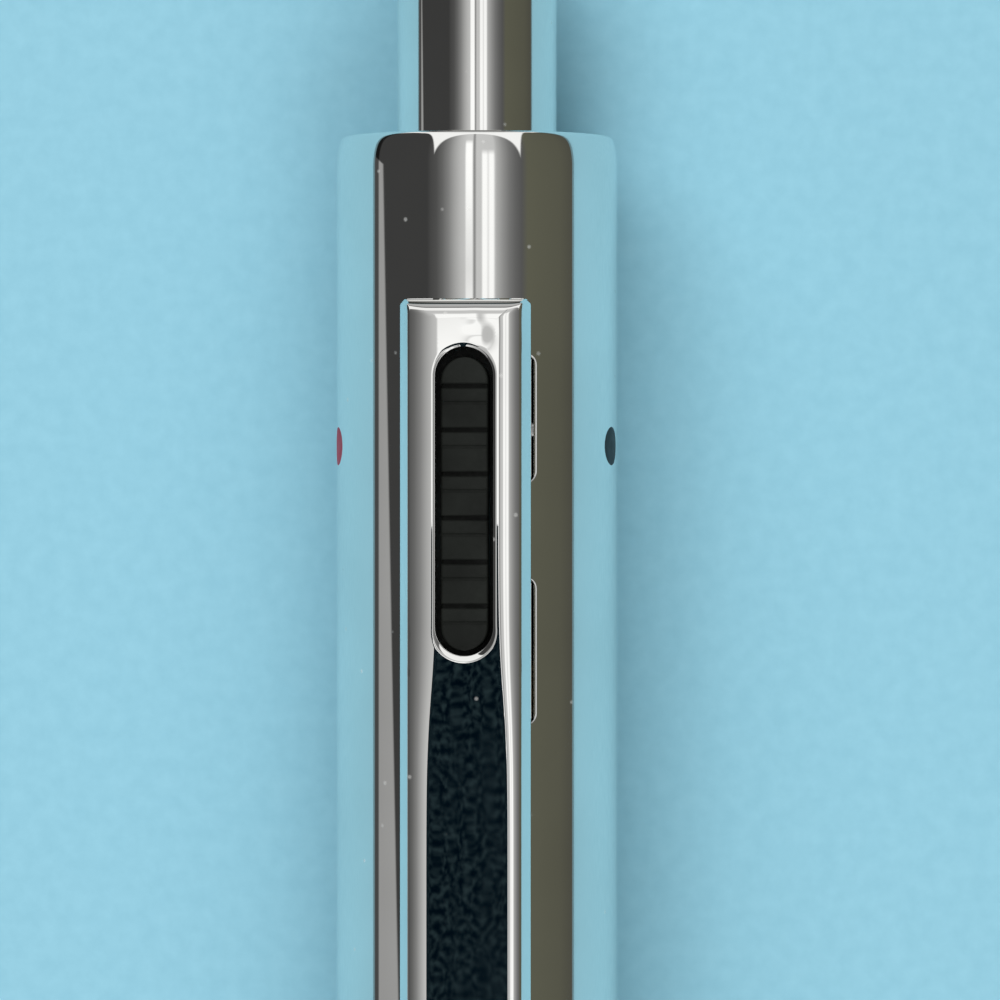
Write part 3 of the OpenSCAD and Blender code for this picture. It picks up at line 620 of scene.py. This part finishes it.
def clip_spot(x, y):
    """A point of the clip's outer surface over a place in its plan."""
    x, y = np.broadcast_arrays(np.asarray(x, float), np.asarray(y, float))
    side = edge_drop(CLIP_HALF - abs(x), crown_reach(x, y), np.where(x < 0, *CROWN_SLOPES))
    past_end = np.maximum(y - (CLIP_HIGH[1] - CLIP_END), CLIP_LOW[1] + CLIP_END - y)
    end = CLIP_END * (1 - np.sqrt(1 - np.clip(past_end / CLIP_END, 0, NEARLY) ** 2))
    drop = (side ** CLIP_BLEND + end ** CLIP_BLEND) ** (1 / CLIP_BLEND)
    down = np.clip(y, WINDOW_LOW, WINDOW_TOP) - y
    reach = np.maximum(np.hypot(x, down), WINDOW_HALF)
    low_end = np.clip(down / reach, 0, 1)
    width = rim_width(low_end)
    slope = RIM_SLOPES[0] + (RIM_SLOPES[1] - RIM_SLOPES[0]) * low_end ** 2
    near_rim = np.clip(1 - (reach - WINDOW_HALF) / width, 0, 1)
    drop = drop + slope * width * near_rim ** RIM_CURVE
    for dent_x, above, radius, depth in DENTS:
        dent_y = WINDOW_TOP + WINDOW_HALF + above
        drop = drop + depth * np.exp(-((x - dent_x) ** 2 + (y - dent_y) ** 2) / radius ** 2)
    middle = (CLIP_HIGH[1] + CLIP_LOW[1]) / 2
    half_len = (CLIP_HIGH[1] - CLIP_LOW[1]) / 2
    u = np.clip((abs(x) - CLIP_HALF) / CLIP_CORNER + 1, 0, 1)
    v = np.clip((abs(y - middle) - half_len) / CLIP_CORNER + 1, 0, 1)
    plan_x = x - np.sign(x) * CLIP_CORNER * u * (1 - np.sqrt(1 - v ** 2 / 2))
    plan_y = y - np.sign(y - middle) * CLIP_CORNER * v * (1 - np.sqrt(1 - u ** 2 / 2))
    return np.stack([plan_x, plan_y, CLIP_FACE - drop], -1)


def clip_normal(x, y):
    """The surface's normal there, from its slopes along and across the clip."""
    tiny = 2e-4
    x, y = np.broadcast_arrays(np.asarray(x, float), np.asarray(y, float))
    left = np.clip(x - tiny, -CLIP_HALF, CLIP_HALF)
    right = np.clip(x + tiny, -CLIP_HALF, CLIP_HALF)
    low = np.clip(y - tiny, CLIP_LOW[1], CLIP_HIGH[1])
    high = np.clip(y + tiny, CLIP_LOW[1], CLIP_HIGH[1])
    normal = np.cross(clip_spot(right, y) - clip_spot(left, y), clip_spot(x, high) - clip_spot(x, low))
    return normal / np.linalg.norm(normal, axis=-1, keepdims=True)


def clip_columns():
    """Places across the clip, close together over its bevels and their edges."""
    inward = np.concatenate([np.linspace(0, BEVEL_IN, 7), np.linspace(BEVEL_IN, BEVEL_IN + BEVEL_EDGE, 7)[1:],
                             np.linspace(BEVEL_IN + BEVEL_EDGE, CLIP_HALF, 28)[1:]])
    right = (CLIP_HALF - inward)[::-1]
    return np.concatenate([-right[:0:-1], right])


def clip_rows(low, high, low_end, high_end):
    """Places along the clip, close together over a rounded end."""
    bend = CLIP_END * (1 - np.sin(np.linspace(0, math.pi / 2, 11)))
    ends = [low + bend[::-1]] if low_end else []
    ends += [high - bend] if high_end else []
    middle = np.linspace(low + CLIP_END * low_end, high - CLIP_END * high_end, 60)
    return np.unique(np.round(np.concatenate([middle, *ends]), 5))


def clip_piece():
    """Rings from the window out to the edge, a plain tail below them, and the sides, underside and legs."""
    patches = Patches()
    columns = clip_columns()
    split = WINDOW_LOW - WINDOW_HALF - WINDOW_APRON
    rows = clip_rows(split, CLIP_HIGH[1], False, True)
    outline = ([(x, split) for x in columns[:-1]] + [(CLIP_HALF, y) for y in rows[:-1]]
               + [(x, CLIP_HIGH[1]) for x in columns[:0:-1]] + [(-CLIP_HALF, y) for y in rows[:0:-1]])
    outline = np.array(outline + outline[:1])
    nearest = np.stack([np.zeros(len(outline)), np.clip(outline[:, 1], WINDOW_LOW, WINDOW_TOP)], 1)
    outward = outline - nearest
    outward /= np.linalg.norm(outward, axis=1, keepdims=True)
    rim = nearest + outward * WINDOW_HALF
    width = rim_width(-outward[:, 1:])
    crest = rim + outward * width
    rings = [rim + outward * width * k for k in np.linspace(0, 1, 7)]
    side_span = CLIP_HALF - WINDOW_HALF - RIM_SIDE
    inner_edge = 1 - (BEVEL_IN + BEVEL_EDGE) / side_span
    outer_edge = 1 - BEVEL_IN / side_span
    steps = np.concatenate([np.linspace(0, inner_edge, 13), np.linspace(inner_edge, outer_edge, 7)[1:],
                            np.linspace(outer_edge, 1, 7)[1:]])
    rings += [crest + (outline - crest) * k for k in steps[1:]]
    rings = np.array(rings)
    upper = clip_spot(rings[..., 0], rings[..., 1])
    patches.grid(upper, clip_normal(rings[..., 0], rings[..., 1]))

    tail_rows = clip_rows(CLIP_LOW[1], split, True, False)
    tail_x, tail_y = np.meshgrid(columns, tail_rows)
    tail = clip_spot(tail_x, tail_y)
    patches.grid(tail, clip_normal(tail_x, tail_y))

    def drop_to_under(line):
        low = line.copy()
        low[:, 2] = CLIP_UNDER
        return low

    def side_wall(line, normals):
        flat = normals * (1, 1, 0)
        flat /= np.linalg.norm(flat, axis=1, keepdims=True)
        patches.grid([line, drop_to_under(line)], [flat, flat])

    start = len(columns) - 1
    side_wall(upper[-1][start:], clip_normal(outline[start:, 0], outline[start:, 1]))
    for column in (0, -1):
        side_wall(tail[:, column], clip_normal(tail_x[:, column], tail_y[:, column]))
    side_wall(tail[0], clip_normal(tail_x[0], tail_y[0]))
    window = np.pad(-outward, ((0, 0), (0, 1)))
    patches.grid([upper[0], drop_to_under(upper[0])], [window, window])
    down = np.array([0.0, 0.0, -1.0])
    below = [drop_to_under(upper[0]), drop_to_under(upper[-1])]
    patches.grid(below, np.tile(down, (2, len(outline), 1)))
    base = np.array([drop_to_under(line) for line in tail])
    patches.grid(base, np.tile(down, (*tail_x.shape, 1)))
    clip_legs(patches)
    clip_bump(patches)
    piece = place_piece(patches, "clip_bar", "clip", "chrome", "clip")
    piece.data.materials[0] = metal("clip_chrome", *CHROME, CLIP_ROUGH, ALONG, CLIP_WAVE, SPECKS)
    return piece


LEG_T = 0.55
LEG_INSET = 0.04
LEG_SINK = 0.2
LEG_REACH = 0.1
LEG_OUT = CLIP_HALF - LEG_INSET
LEG_ROOT = CLIP_UNDER + LEG_SINK
LEG_LOW = AXIS_Z + BORE_R - LEG_REACH
HINGE_LEG = 4.3
HINGE_EYE = 2.6
EYE_BELOW = 0.6
STOP_LEG = 5.0
HINGE_Z = JOINTS["clip_lift"]["pos_m"][2] / MM


def clip_legs(patches):
    """The hinge legs with their eyes, and the stop legs."""
    legs = [(HINGE_LEG_Y, HINGE_LEG, LEG_LOW, LEG_ROOT), (STOP_Y, STOP_LEG, LEG_LOW, LEG_ROOT),
            (HINGE_Y, HINGE_EYE, HINGE_Z - EYE_BELOW, LEG_LOW)]
    for side in (-1, 1):
        x0, x1 = sorted((side * (LEG_OUT - LEG_T), side * LEG_OUT))
        for y, length, low, high in legs:
            patches.box((x0, y - length / 2, low), (x1, y + length / 2, high))


BUMP_R = 1.1
BUMP_GAP = 0.08
BUMP_SPREAD = math.pi * 0.55


def clip_bump(patches):
    """The round bump under the free end."""
    centre = np.array([0, CLIP_LOW[1] + CLIP_HALF, AXIS_Z + BARREL_R + BUMP_GAP + BUMP_R])
    around, down = np.meshgrid(np.linspace(0, 2 * math.pi, 49), np.linspace(0, BUMP_SPREAD, 15))
    normal = np.stack([np.sin(down) * np.cos(around), np.sin(down) * np.sin(around), -np.cos(down)], -1)
    patches.grid(centre + normal * BUMP_R, normal)


clip_piece()


# Release button, with its grooves and the fine ridge beside each

BUTTON_HALF = 0.9
BUTTON_LEN = 11.2
BUTTON_STRAIGHT = BUTTON_LEN - 2 * BUTTON_HALF
BUTTON_FACE = BUTTON_HIGH[2]
BUTTON_SINK = 0.2
BUTTON_BASE = AXIS_Z + BARREL_R - BUTTON_SINK
BUTTON_BEVEL = 0.1
BEVEL_SHARE = 0.9
BUTTON_LIP = 0.35
BUTTON_CREASE = 32
END_STEPS = 17
GROOVES = 6
GROOVE_PITCH = 1.68
GROOVE_SHIFT = 0.3
GROOVE_W = 0.18
GROOVE_DEPTH = 0.3
GROOVE_LIP = 0.04
RIDGE_OFFSET = 0.62
RIDGE_W = 0.1
RIDGE_RISE = 0.08


def button_stations():
    """Stations along the button as (y, half width, height of the face)."""
    stations = []
    for a in np.linspace(math.pi / 2, 0, END_STEPS):
        stations.append((-BUTTON_STRAIGHT / 2 - BUTTON_HALF * math.sin(a), BUTTON_HALF * math.cos(a), 0.0))
    for i in range(GROOVES):
        groove = (i - (GROOVES - 1) / 2) * GROOVE_PITCH + GROOVE_SHIFT
        ridge = groove - RIDGE_OFFSET
        for y, z in ((ridge - RIDGE_W, 0), (ridge, RIDGE_RISE), (ridge + RIDGE_W / 2, 0),
                     (groove - GROOVE_W / 2 - GROOVE_LIP, 0), (groove - GROOVE_W / 2, -GROOVE_LIP),
                     (groove - GROOVE_W / 2, -GROOVE_DEPTH), (groove + GROOVE_W / 2, -GROOVE_DEPTH),
                     (groove + GROOVE_W / 2, -GROOVE_LIP), (groove + GROOVE_W / 2 + GROOVE_LIP, 0)):
            stations.append((y, BUTTON_HALF, z))
    for a in np.linspace(0, math.pi / 2, END_STEPS):
        stations.append((BUTTON_STRAIGHT / 2 + BUTTON_HALF * math.sin(a), BUTTON_HALF * math.cos(a), 0.0))
    return stations


def button_piece():
    """Strips across the button from station to station, and its lip below the clip."""
    patches = Patches()
    lines = []
    for y, half, rise in button_stations():
        bevel = min(BUTTON_BEVEL, half * BEVEL_SHARE)
        face = BUTTON_FACE + rise
        turn = np.linspace(0, math.pi / 2, 5)
        bend_x = half - bevel + bevel * np.cos(turn)
        bend_z = face - bevel + bevel * np.sin(turn)
        x = np.concatenate([[half], bend_x, -bend_x[::-1], [-half]])
        z = np.concatenate([[BUTTON_BASE], bend_z, bend_z[::-1], [BUTTON_BASE]])
        lines.append(np.stack([x, np.full(len(x), BUTTON_Y + y), z], 1))
    lines = np.array(lines)
    up = np.tile([0.0, 0.0, 1.0], (*lines.shape[:2], 1))
    out = lines - [0, BUTTON_Y, BUTTON_FACE - 2]
    patches.grid(lines, out * (1, 0.1, 1) + up)
    lip_half = (BUTTON_HIGH[0] - BUTTON_LOW[0]) / 2
    lip_len = (BUTTON_HIGH[1] - BUTTON_LOW[1]) / 2
    patches.box((-lip_half, BUTTON_Y - lip_len, BUTTON_BASE),
                (lip_half, BUTTON_Y + lip_len, BUTTON_BASE + BUTTON_LIP))
    return place_piece(patches, "button_cap", "button", "black_plastic", "release_button",
                       crease=BUTTON_CREASE)


button_piece()


# Colour marks: shallow enamel dots that follow the barrel

MARK_R = 0.8
MARK_Y = (MARK_LOW[1] + MARK_HIGH[1]) / 2
MARK_ANGLE = math.atan2((MARK_LOW[0] + MARK_HIGH[0]) / 2, (MARK_LOW[2] + MARK_HIGH[2]) / 2 - AXIS_Z)
MARK_PROUD = 0.015
MARK_SINK = 0.005
MARK_RINGS = MARK_R * np.array([0, 0.3, 0.6, 0.85, 0.95, 1.0])


def mark_piece(side, name, slot, node):
    patches = Patches()
    reach, around = np.meshgrid(MARK_RINGS, np.linspace(0, 2 * math.pi, 65))
    rise = MARK_PROUD * (1 - (reach / MARK_R) ** 6) - MARK_SINK
    angle = side * MARK_ANGLE + reach * np.cos(around) / BARREL_R
    y = MARK_Y + reach * np.sin(around)
    patches.grid(round_spot(BARREL_R + rise, angle, y), round_normal(1.0, 0.0, angle))
    return place_piece(patches, name, "barrel", slot, node)


mark_piece(-1, "red_dot", "red_enamel", "mark_red")
mark_piece(1, "black_dot", "black_enamel", "mark_black")


# Inner pieces: the coil springs and the release leaf

COIL_SIDES = 10
COIL_RINGS = 36
KNOB_WIRE = 0.34
KNOB_TURNS = 8
RETURN_WIRE = 0.22
RETURN_TURNS = 9
LEAF_LOW, LEAF_HIGH = node_box("release_leaf")
LEAF_T = 0.2
HOOK_HALF = 0.55
HOOK_RISE = 2.8
HOOK_LEN = 0.8


def coil_radius(node, wire):
    """Radius of a straight coil's middle line."""
    low, high = node_box(node)
    return (high[0] - low[0] - wire) / 2


def spring_piece(name, node, joint, turns, wire, radius):
    """A coil of round wire about its joint's line."""
    low, high = node_box(node)
    along = np.array(JOINTS[joint]["axis"], float)
    along *= np.sign(along[1])
    side = np.cross(along, (0, 0, 1))
    side /= np.linalg.norm(side)
    up = np.cross(along, side)
    length = (high[1] - low[1]) / along[1]
    start = (low + high) / 2 - along * length / 2
    lean = math.atan((length - wire) / (2 * math.pi * radius * turns))
    turn = np.linspace(0, turns * 2 * math.pi, turns * COIL_RINGS + 1)[:, None]
    outward = np.cos(turn) * side + np.sin(turn) * up
    around = np.cos(turn) * up - np.sin(turn) * side
    forward = around * math.cos(lean) + along * math.sin(lean)
    middle = start + outward * radius + along * (wire / 2 + (length - wire) * turn / turn[-1])
    b = np.linspace(0, 2 * math.pi, COIL_SIDES + 1)[:, None]
    across = along * math.cos(lean) - around * math.sin(lean)
    normals = outward[:, None] * np.cos(b) + across[:, None] * np.sin(b)
    points = middle[:, None] + normals * wire / 2
    patches = Patches()
    patches.grid(points, normals)
    for end, sign in ((0, -1), (-1, 1)):
        patches.grid([np.tile(middle[end], (COIL_SIDES + 1, 1)), points[end]],
                     np.tile(forward[end] * sign, (2, COIL_SIDES + 1, 1)))
    piece = place_piece(patches, name, "barrel", "steel", node)
    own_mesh(piece)


def leaf_piece():
    """The leaf and its hook, as two boxes."""
    patches = Patches()
    inner = LEAF_HIGH[2] - LEAF_T
    hook = LEAF_LOW[1] + HOOK_RISE
    patches.box((LEAF_LOW[0], LEAF_LOW[1], inner), LEAF_HIGH)
    patches.box((-HOOK_HALF, hook, LEAF_LOW[2]), (HOOK_HALF, hook + HOOK_LEN, inner + LEAF_T / 2))
    piece = place_piece(patches, "leaf_strip", "barrel", "steel", "release_leaf")
    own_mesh(piece)


KNOB_COIL_R = coil_radius("knob_spring", KNOB_WIRE)
RETURN_R = coil_radius("pencil_spring", RETURN_WIRE)
spring_piece("knob_coil", "knob_spring", "knob_press", KNOB_TURNS, KNOB_WIRE, KNOB_COIL_R)
for colour in ("pencil", "red", "black"):
    spring_piece(colour + "_coil", colour + "_spring", colour + "_slide", RETURN_TURNS, RETURN_WIRE, RETURN_R)
leaf_piece()


# Camera and light, in a frame that is rolled with the camera round the pen's axis

VIEW_ROLL = math.radians(3.8)
VIEW_Y = 47.05
VIEW_SHIFT = 0.9
VIEW_DISTANCE = 250.0
VIEW_WIDTH = 39.2
SENSOR = 36.0
NEAREST = 0.01
RIG = Matrix.Translation((0, VIEW_Y * MM, AXIS_Z * MM)) @ Matrix.Rotation(VIEW_ROLL, 4, "Y")


def add_camera():
    data = bpy.data.cameras.new("camera")
    data.sensor_width = SENSOR
    data.lens = SENSOR * VIEW_DISTANCE / VIEW_WIDTH
    data.clip_start = NEAREST
    camera = bpy.data.objects.new("camera", data)
    bpy.context.scene.collection.objects.link(camera)
    camera.matrix_world = RIG @ Matrix.Translation((VIEW_SHIFT * MM, 0, VIEW_DISTANCE * MM))
    bpy.context.scene.camera = camera


add_camera()


def plain_sheet(name, matrix, width, length):
    """A flat sheet of the stage."""
    mesh = bpy.data.meshes.new(name)
    w, h = width / 2, length / 2
    mesh.from_pydata([(-w, -h, 0), (w, -h, 0), (w, h, 0), (-w, h, 0)], [], [(0, 1, 2, 3)])
    sheet = bpy.data.objects.new(name, mesh)
    bpy.context.scene.collection.objects.link(sheet)
    sheet.matrix_world = matrix
    return sheet


FLOOR_SIZE = 6.0
FLOOR_GRAIN = 1500
FLOOR_TONES = [(0.3, (0.27, 0.56, 0.69)), (0.7, (0.30, 0.60, 0.73))]
FLOOR_ROUGH = 0.8


def floor():
    made, nodes, links, shader, place = new_material("floor_paper")
    shader.inputs["Roughness"].default_value = FLOOR_ROUGH
    tone = noise(nodes, links, place, FLOOR_GRAIN, (1, 1, 1), 6.0)
    links.new(ramp(nodes, links, tone, FLOOR_TONES), shader.inputs["Base Color"])
    sheet = plain_sheet("floor", Matrix.Identity(4), FLOOR_SIZE, FLOOR_SIZE)
    sheet.data.materials.append(made)


floor()


CARD_GRAIN = 2400
CARD_STRETCH = (1, 0.7, 1)


def card(name, matrix, width, length, dark, light):
    """A dark card with a faint grain, which only reflections show."""
    made = bpy.data.materials.new(name)
    made.use_nodes = True
    nodes, links = made.node_tree.nodes, made.node_tree.links
    nodes.clear()
    out = nodes.new("ShaderNodeOutputMaterial")
    glow = nodes.new("ShaderNodeEmission")
    grain = noise(nodes, links, nodes.new("ShaderNodeTexCoord"), CARD_GRAIN, CARD_STRETCH, 4.0)
    links.new(ramp(nodes, links, grain, [(0.43, dark), (0.66, light)]), glow.inputs["Color"])
    links.new(glow.outputs[0], out.inputs["Surface"])
    sheet = plain_sheet(name, matrix, width, length)
    sheet.data.materials.append(made)
    sheet.visible_camera = False
    sheet.visible_diffuse = False
    sheet.visible_shadow = False


LAMP_SIZE = 0.9


def lamp(name, place, power):
    """A soft square lamp that faces the pen."""
    data = bpy.data.lights.new(name, "AREA")
    data.shape = "SQUARE"
    data.size = LAMP_SIZE
    data.energy = power
    made = bpy.data.objects.new(name, data)
    bpy.context.scene.collection.objects.link(made)
    spot = Vector(place)
    aim = (Vector((0, VIEW_Y * MM, 0)) - spot).to_track_quat("-Z", "Y")
    made.matrix_world = Matrix.Translation(spot) @ aim.to_matrix().to_4x4()
    made.visible_glossy = False


HIGH_CARD = RIG @ Matrix.Translation((-0.033, -0.101, 0.262))
HIGH_CARD_SIZE = (0.03, 0.198)
HIGH_CARD_TONES = ((0.0, 0.003, 0.007), (0.020, 0.036, 0.042))
LOW_CARD = Matrix.Translation((-0.001, 0.076, 0.006)) @ Matrix.Rotation(math.pi / 2, 4, "X")
LOW_CARD_SIZE = (0.012, 0.0125)
LOW_CARD_TONES = ((0.04, 0.04, 0.036), (0.06, 0.06, 0.055))

lamp("far_lamp", (-0.5, 0.8, 1.1), 11)
lamp("near_lamp", (0.5, -0.7, 1.1), 7)
card("high_card", HIGH_CARD, *HIGH_CARD_SIZE, *HIGH_CARD_TONES)
card("low_card", LOW_CARD, *LOW_CARD_SIZE, *LOW_CARD_TONES)


# The room that the polish reflects. Its bands across the pen are (middle, half width, far end, roundness)
# in degrees; past their far ends is a bright window, then a dark frame, then a far wall.
ROOM_BANDS = [(0, 38, 45, 1.3), (-61.5, 26.7, 50, 2), (-74, 39, 52, 2), (64, 28, 56, 2), (78, 42, 56, 2)]
BAND_EDGE = (1.06, 0.98)
# Tones by degrees across the pen from overhead
ROOM_TONES = [
    (-90, 0.05), (-41, 0.05), (-38, 0.07), (-33, 0.09), (-28, 0.15), (-23, 0.25), (-18, 0.41), (-13, 0.56),
    (-8, 0.66), (-3.3, 0.68), (-2.4, 0.3), (-1.4, 0.3), (-0.3, 0.64), (14, 0.62), (16.5, 0.46), (21.5, 0.31),
    (26.5, 0.2), (31.5, 0.14), (37, 0.1), (42, (0.12, 0.12, 0.087)), (72, (0.105, 0.105, 0.078)),
    (86, (0.08, 0.08, 0.065)), (90, 0.05)]
# Lamp tubes as tones across the pen, and how strong they are by degrees ahead
ROOM_TUBES = [
    ([(-9.5, 0.0), (-8.7, 0.5), (-3.9, 0.5), (-2.9, 0.0)],
     [(1.7, 1.0), (1.9, 0.35), (2.4, 0.35), (2.75, 1.0), (20, 1.0), (27, 0.0)]),
    ([(3.8, 0.0), (4.9, 0.5), (8, 0.5), (9.3, 0.2), (10.4, 0.5), (13.4, 0.5), (15, 0.0)],
     [(9, 1.0), (14, 0.0)])]
# A pale strip low on the left, which leans by degrees across for each degree ahead
SIDE_STRIP = [(-90, 0.3), (-77.5, 0.32), (-76, 0.0)]
STRIP_LEAN = 2.1
HORIZON = [(-90, 0.2), (-88.2, 0.2), (-87.4, 1.0)]
ROOM_WINDOW = 1.05
ROOM_END = 0.07
WINDOW_END = (60, 63)
FAR_WALL = 0.5
FAR_WALL_START = (65, 70)
# The floor's tone goes on a little above its far edge, by degrees of height
FAR_FLOOR = (0.16, 0.27, 0.31, 1.0)
FAR_FLOOR_END = (1.3, 1.6)


def world():
    """The room's tones by direction, in degrees across the pen and ahead along it."""
    made = bpy.data.worlds.new("room")
    bpy.context.scene.world = made
    made.use_nodes = True
    nodes, links = made.node_tree.nodes, made.node_tree.links
    place = nodes.new("ShaderNodeTexCoord")

    def feed(socket, value):
        if isinstance(value, (int, float, tuple)):
            socket.default_value = value
        else:
            links.new(value, socket)

    def along(axis):
        dot = nodes.new("ShaderNodeVectorMath")
        dot.operation = "DOT_PRODUCT"
        links.new(place.outputs["Generated"], dot.inputs[0])
        dot.inputs[1].default_value = axis
        return dot.outputs["Value"]

    def number(operation, *values):
        node = nodes.new("ShaderNodeMath")
        node.operation = operation
        for socket, value in zip(node.inputs, values):
            feed(socket, value)
        return node.outputs[0]

    def degrees(angle):
        return number("MULTIPLY", angle, 180 / math.pi)

    def falling(value, start, end, first, last):
        edge = nodes.new("ShaderNodeMapRange")
        for name, limit in zip(("From Min", "From Max", "To Min", "To Max"), (start, end, first, last)):
            edge.inputs[name].default_value = limit
        links.new(value, edge.inputs["Value"])
        return edge.outputs[0]

    def tones(angle, stops):
        spread = falling(angle, -90, 90, 0, 1)
        return ramp(nodes, links, spread, [((at + 90) / 180, tone) for at, tone in stops])

    def mixed(kind, factor, a, b):
        node = nodes.new("ShaderNodeMix")
        node.data_type = "RGBA"
        node.blend_type = kind
        for socket, value in zip((node.inputs[0], node.inputs[6], node.inputs[7]), (factor, a, b)):
            feed(socket, value)
        return node.outputs[2]

    turn = RIG.to_3x3()
    across = degrees(number("ARCTAN2", along(turn.col[0]), along(turn.col[2])))
    tilt = degrees(number("ARCSINE", along(turn.col[1])))
    height = degrees(number("ARCSINE", along((0, 0, 1))))
    ahead = number("MAXIMUM", tilt, 0)
    inside = 0.0
    for middle, half, reach, roundness in ROOM_BANDS:
        aside = number("DIVIDE", number("ABSOLUTE", number("SUBTRACT", across, middle)), half)
        onward = number("DIVIDE", ahead, reach)
        spread = number("ADD", number("POWER", aside, 2), number("POWER", onward, roundness))
        inside = number("MAXIMUM", falling(spread, *BAND_EDGE, 0, 1), inside)

    bands = tones(across, ROOM_TONES)
    for stops, levels in ROOM_TUBES:
        bands = mixed("ADD", tones(tilt, levels), bands, tones(across, stops))
    leaning = number("ADD", across, number("MULTIPLY", tilt, STRIP_LEAN))
    bands = mixed("ADD", 1.0, bands, tones(leaning, SIDE_STRIP))
    bands = mixed("MULTIPLY", 1.0, bands, tones(across, HORIZON))
    window = number("MAXIMUM", falling(ahead, *WINDOW_END, ROOM_WINDOW, ROOM_END),
                    falling(ahead, *FAR_WALL_START, ROOM_END, FAR_WALL))
    room = mixed("MIX", inside, window, bands)
    room = mixed("MIX", falling(height, *FAR_FLOOR_END, 1, 0), room, FAR_FLOOR)
    links.new(room, nodes["Background"].inputs["Color"])


world()
bpy.context.scene.view_settings.view_transform = "Standard"
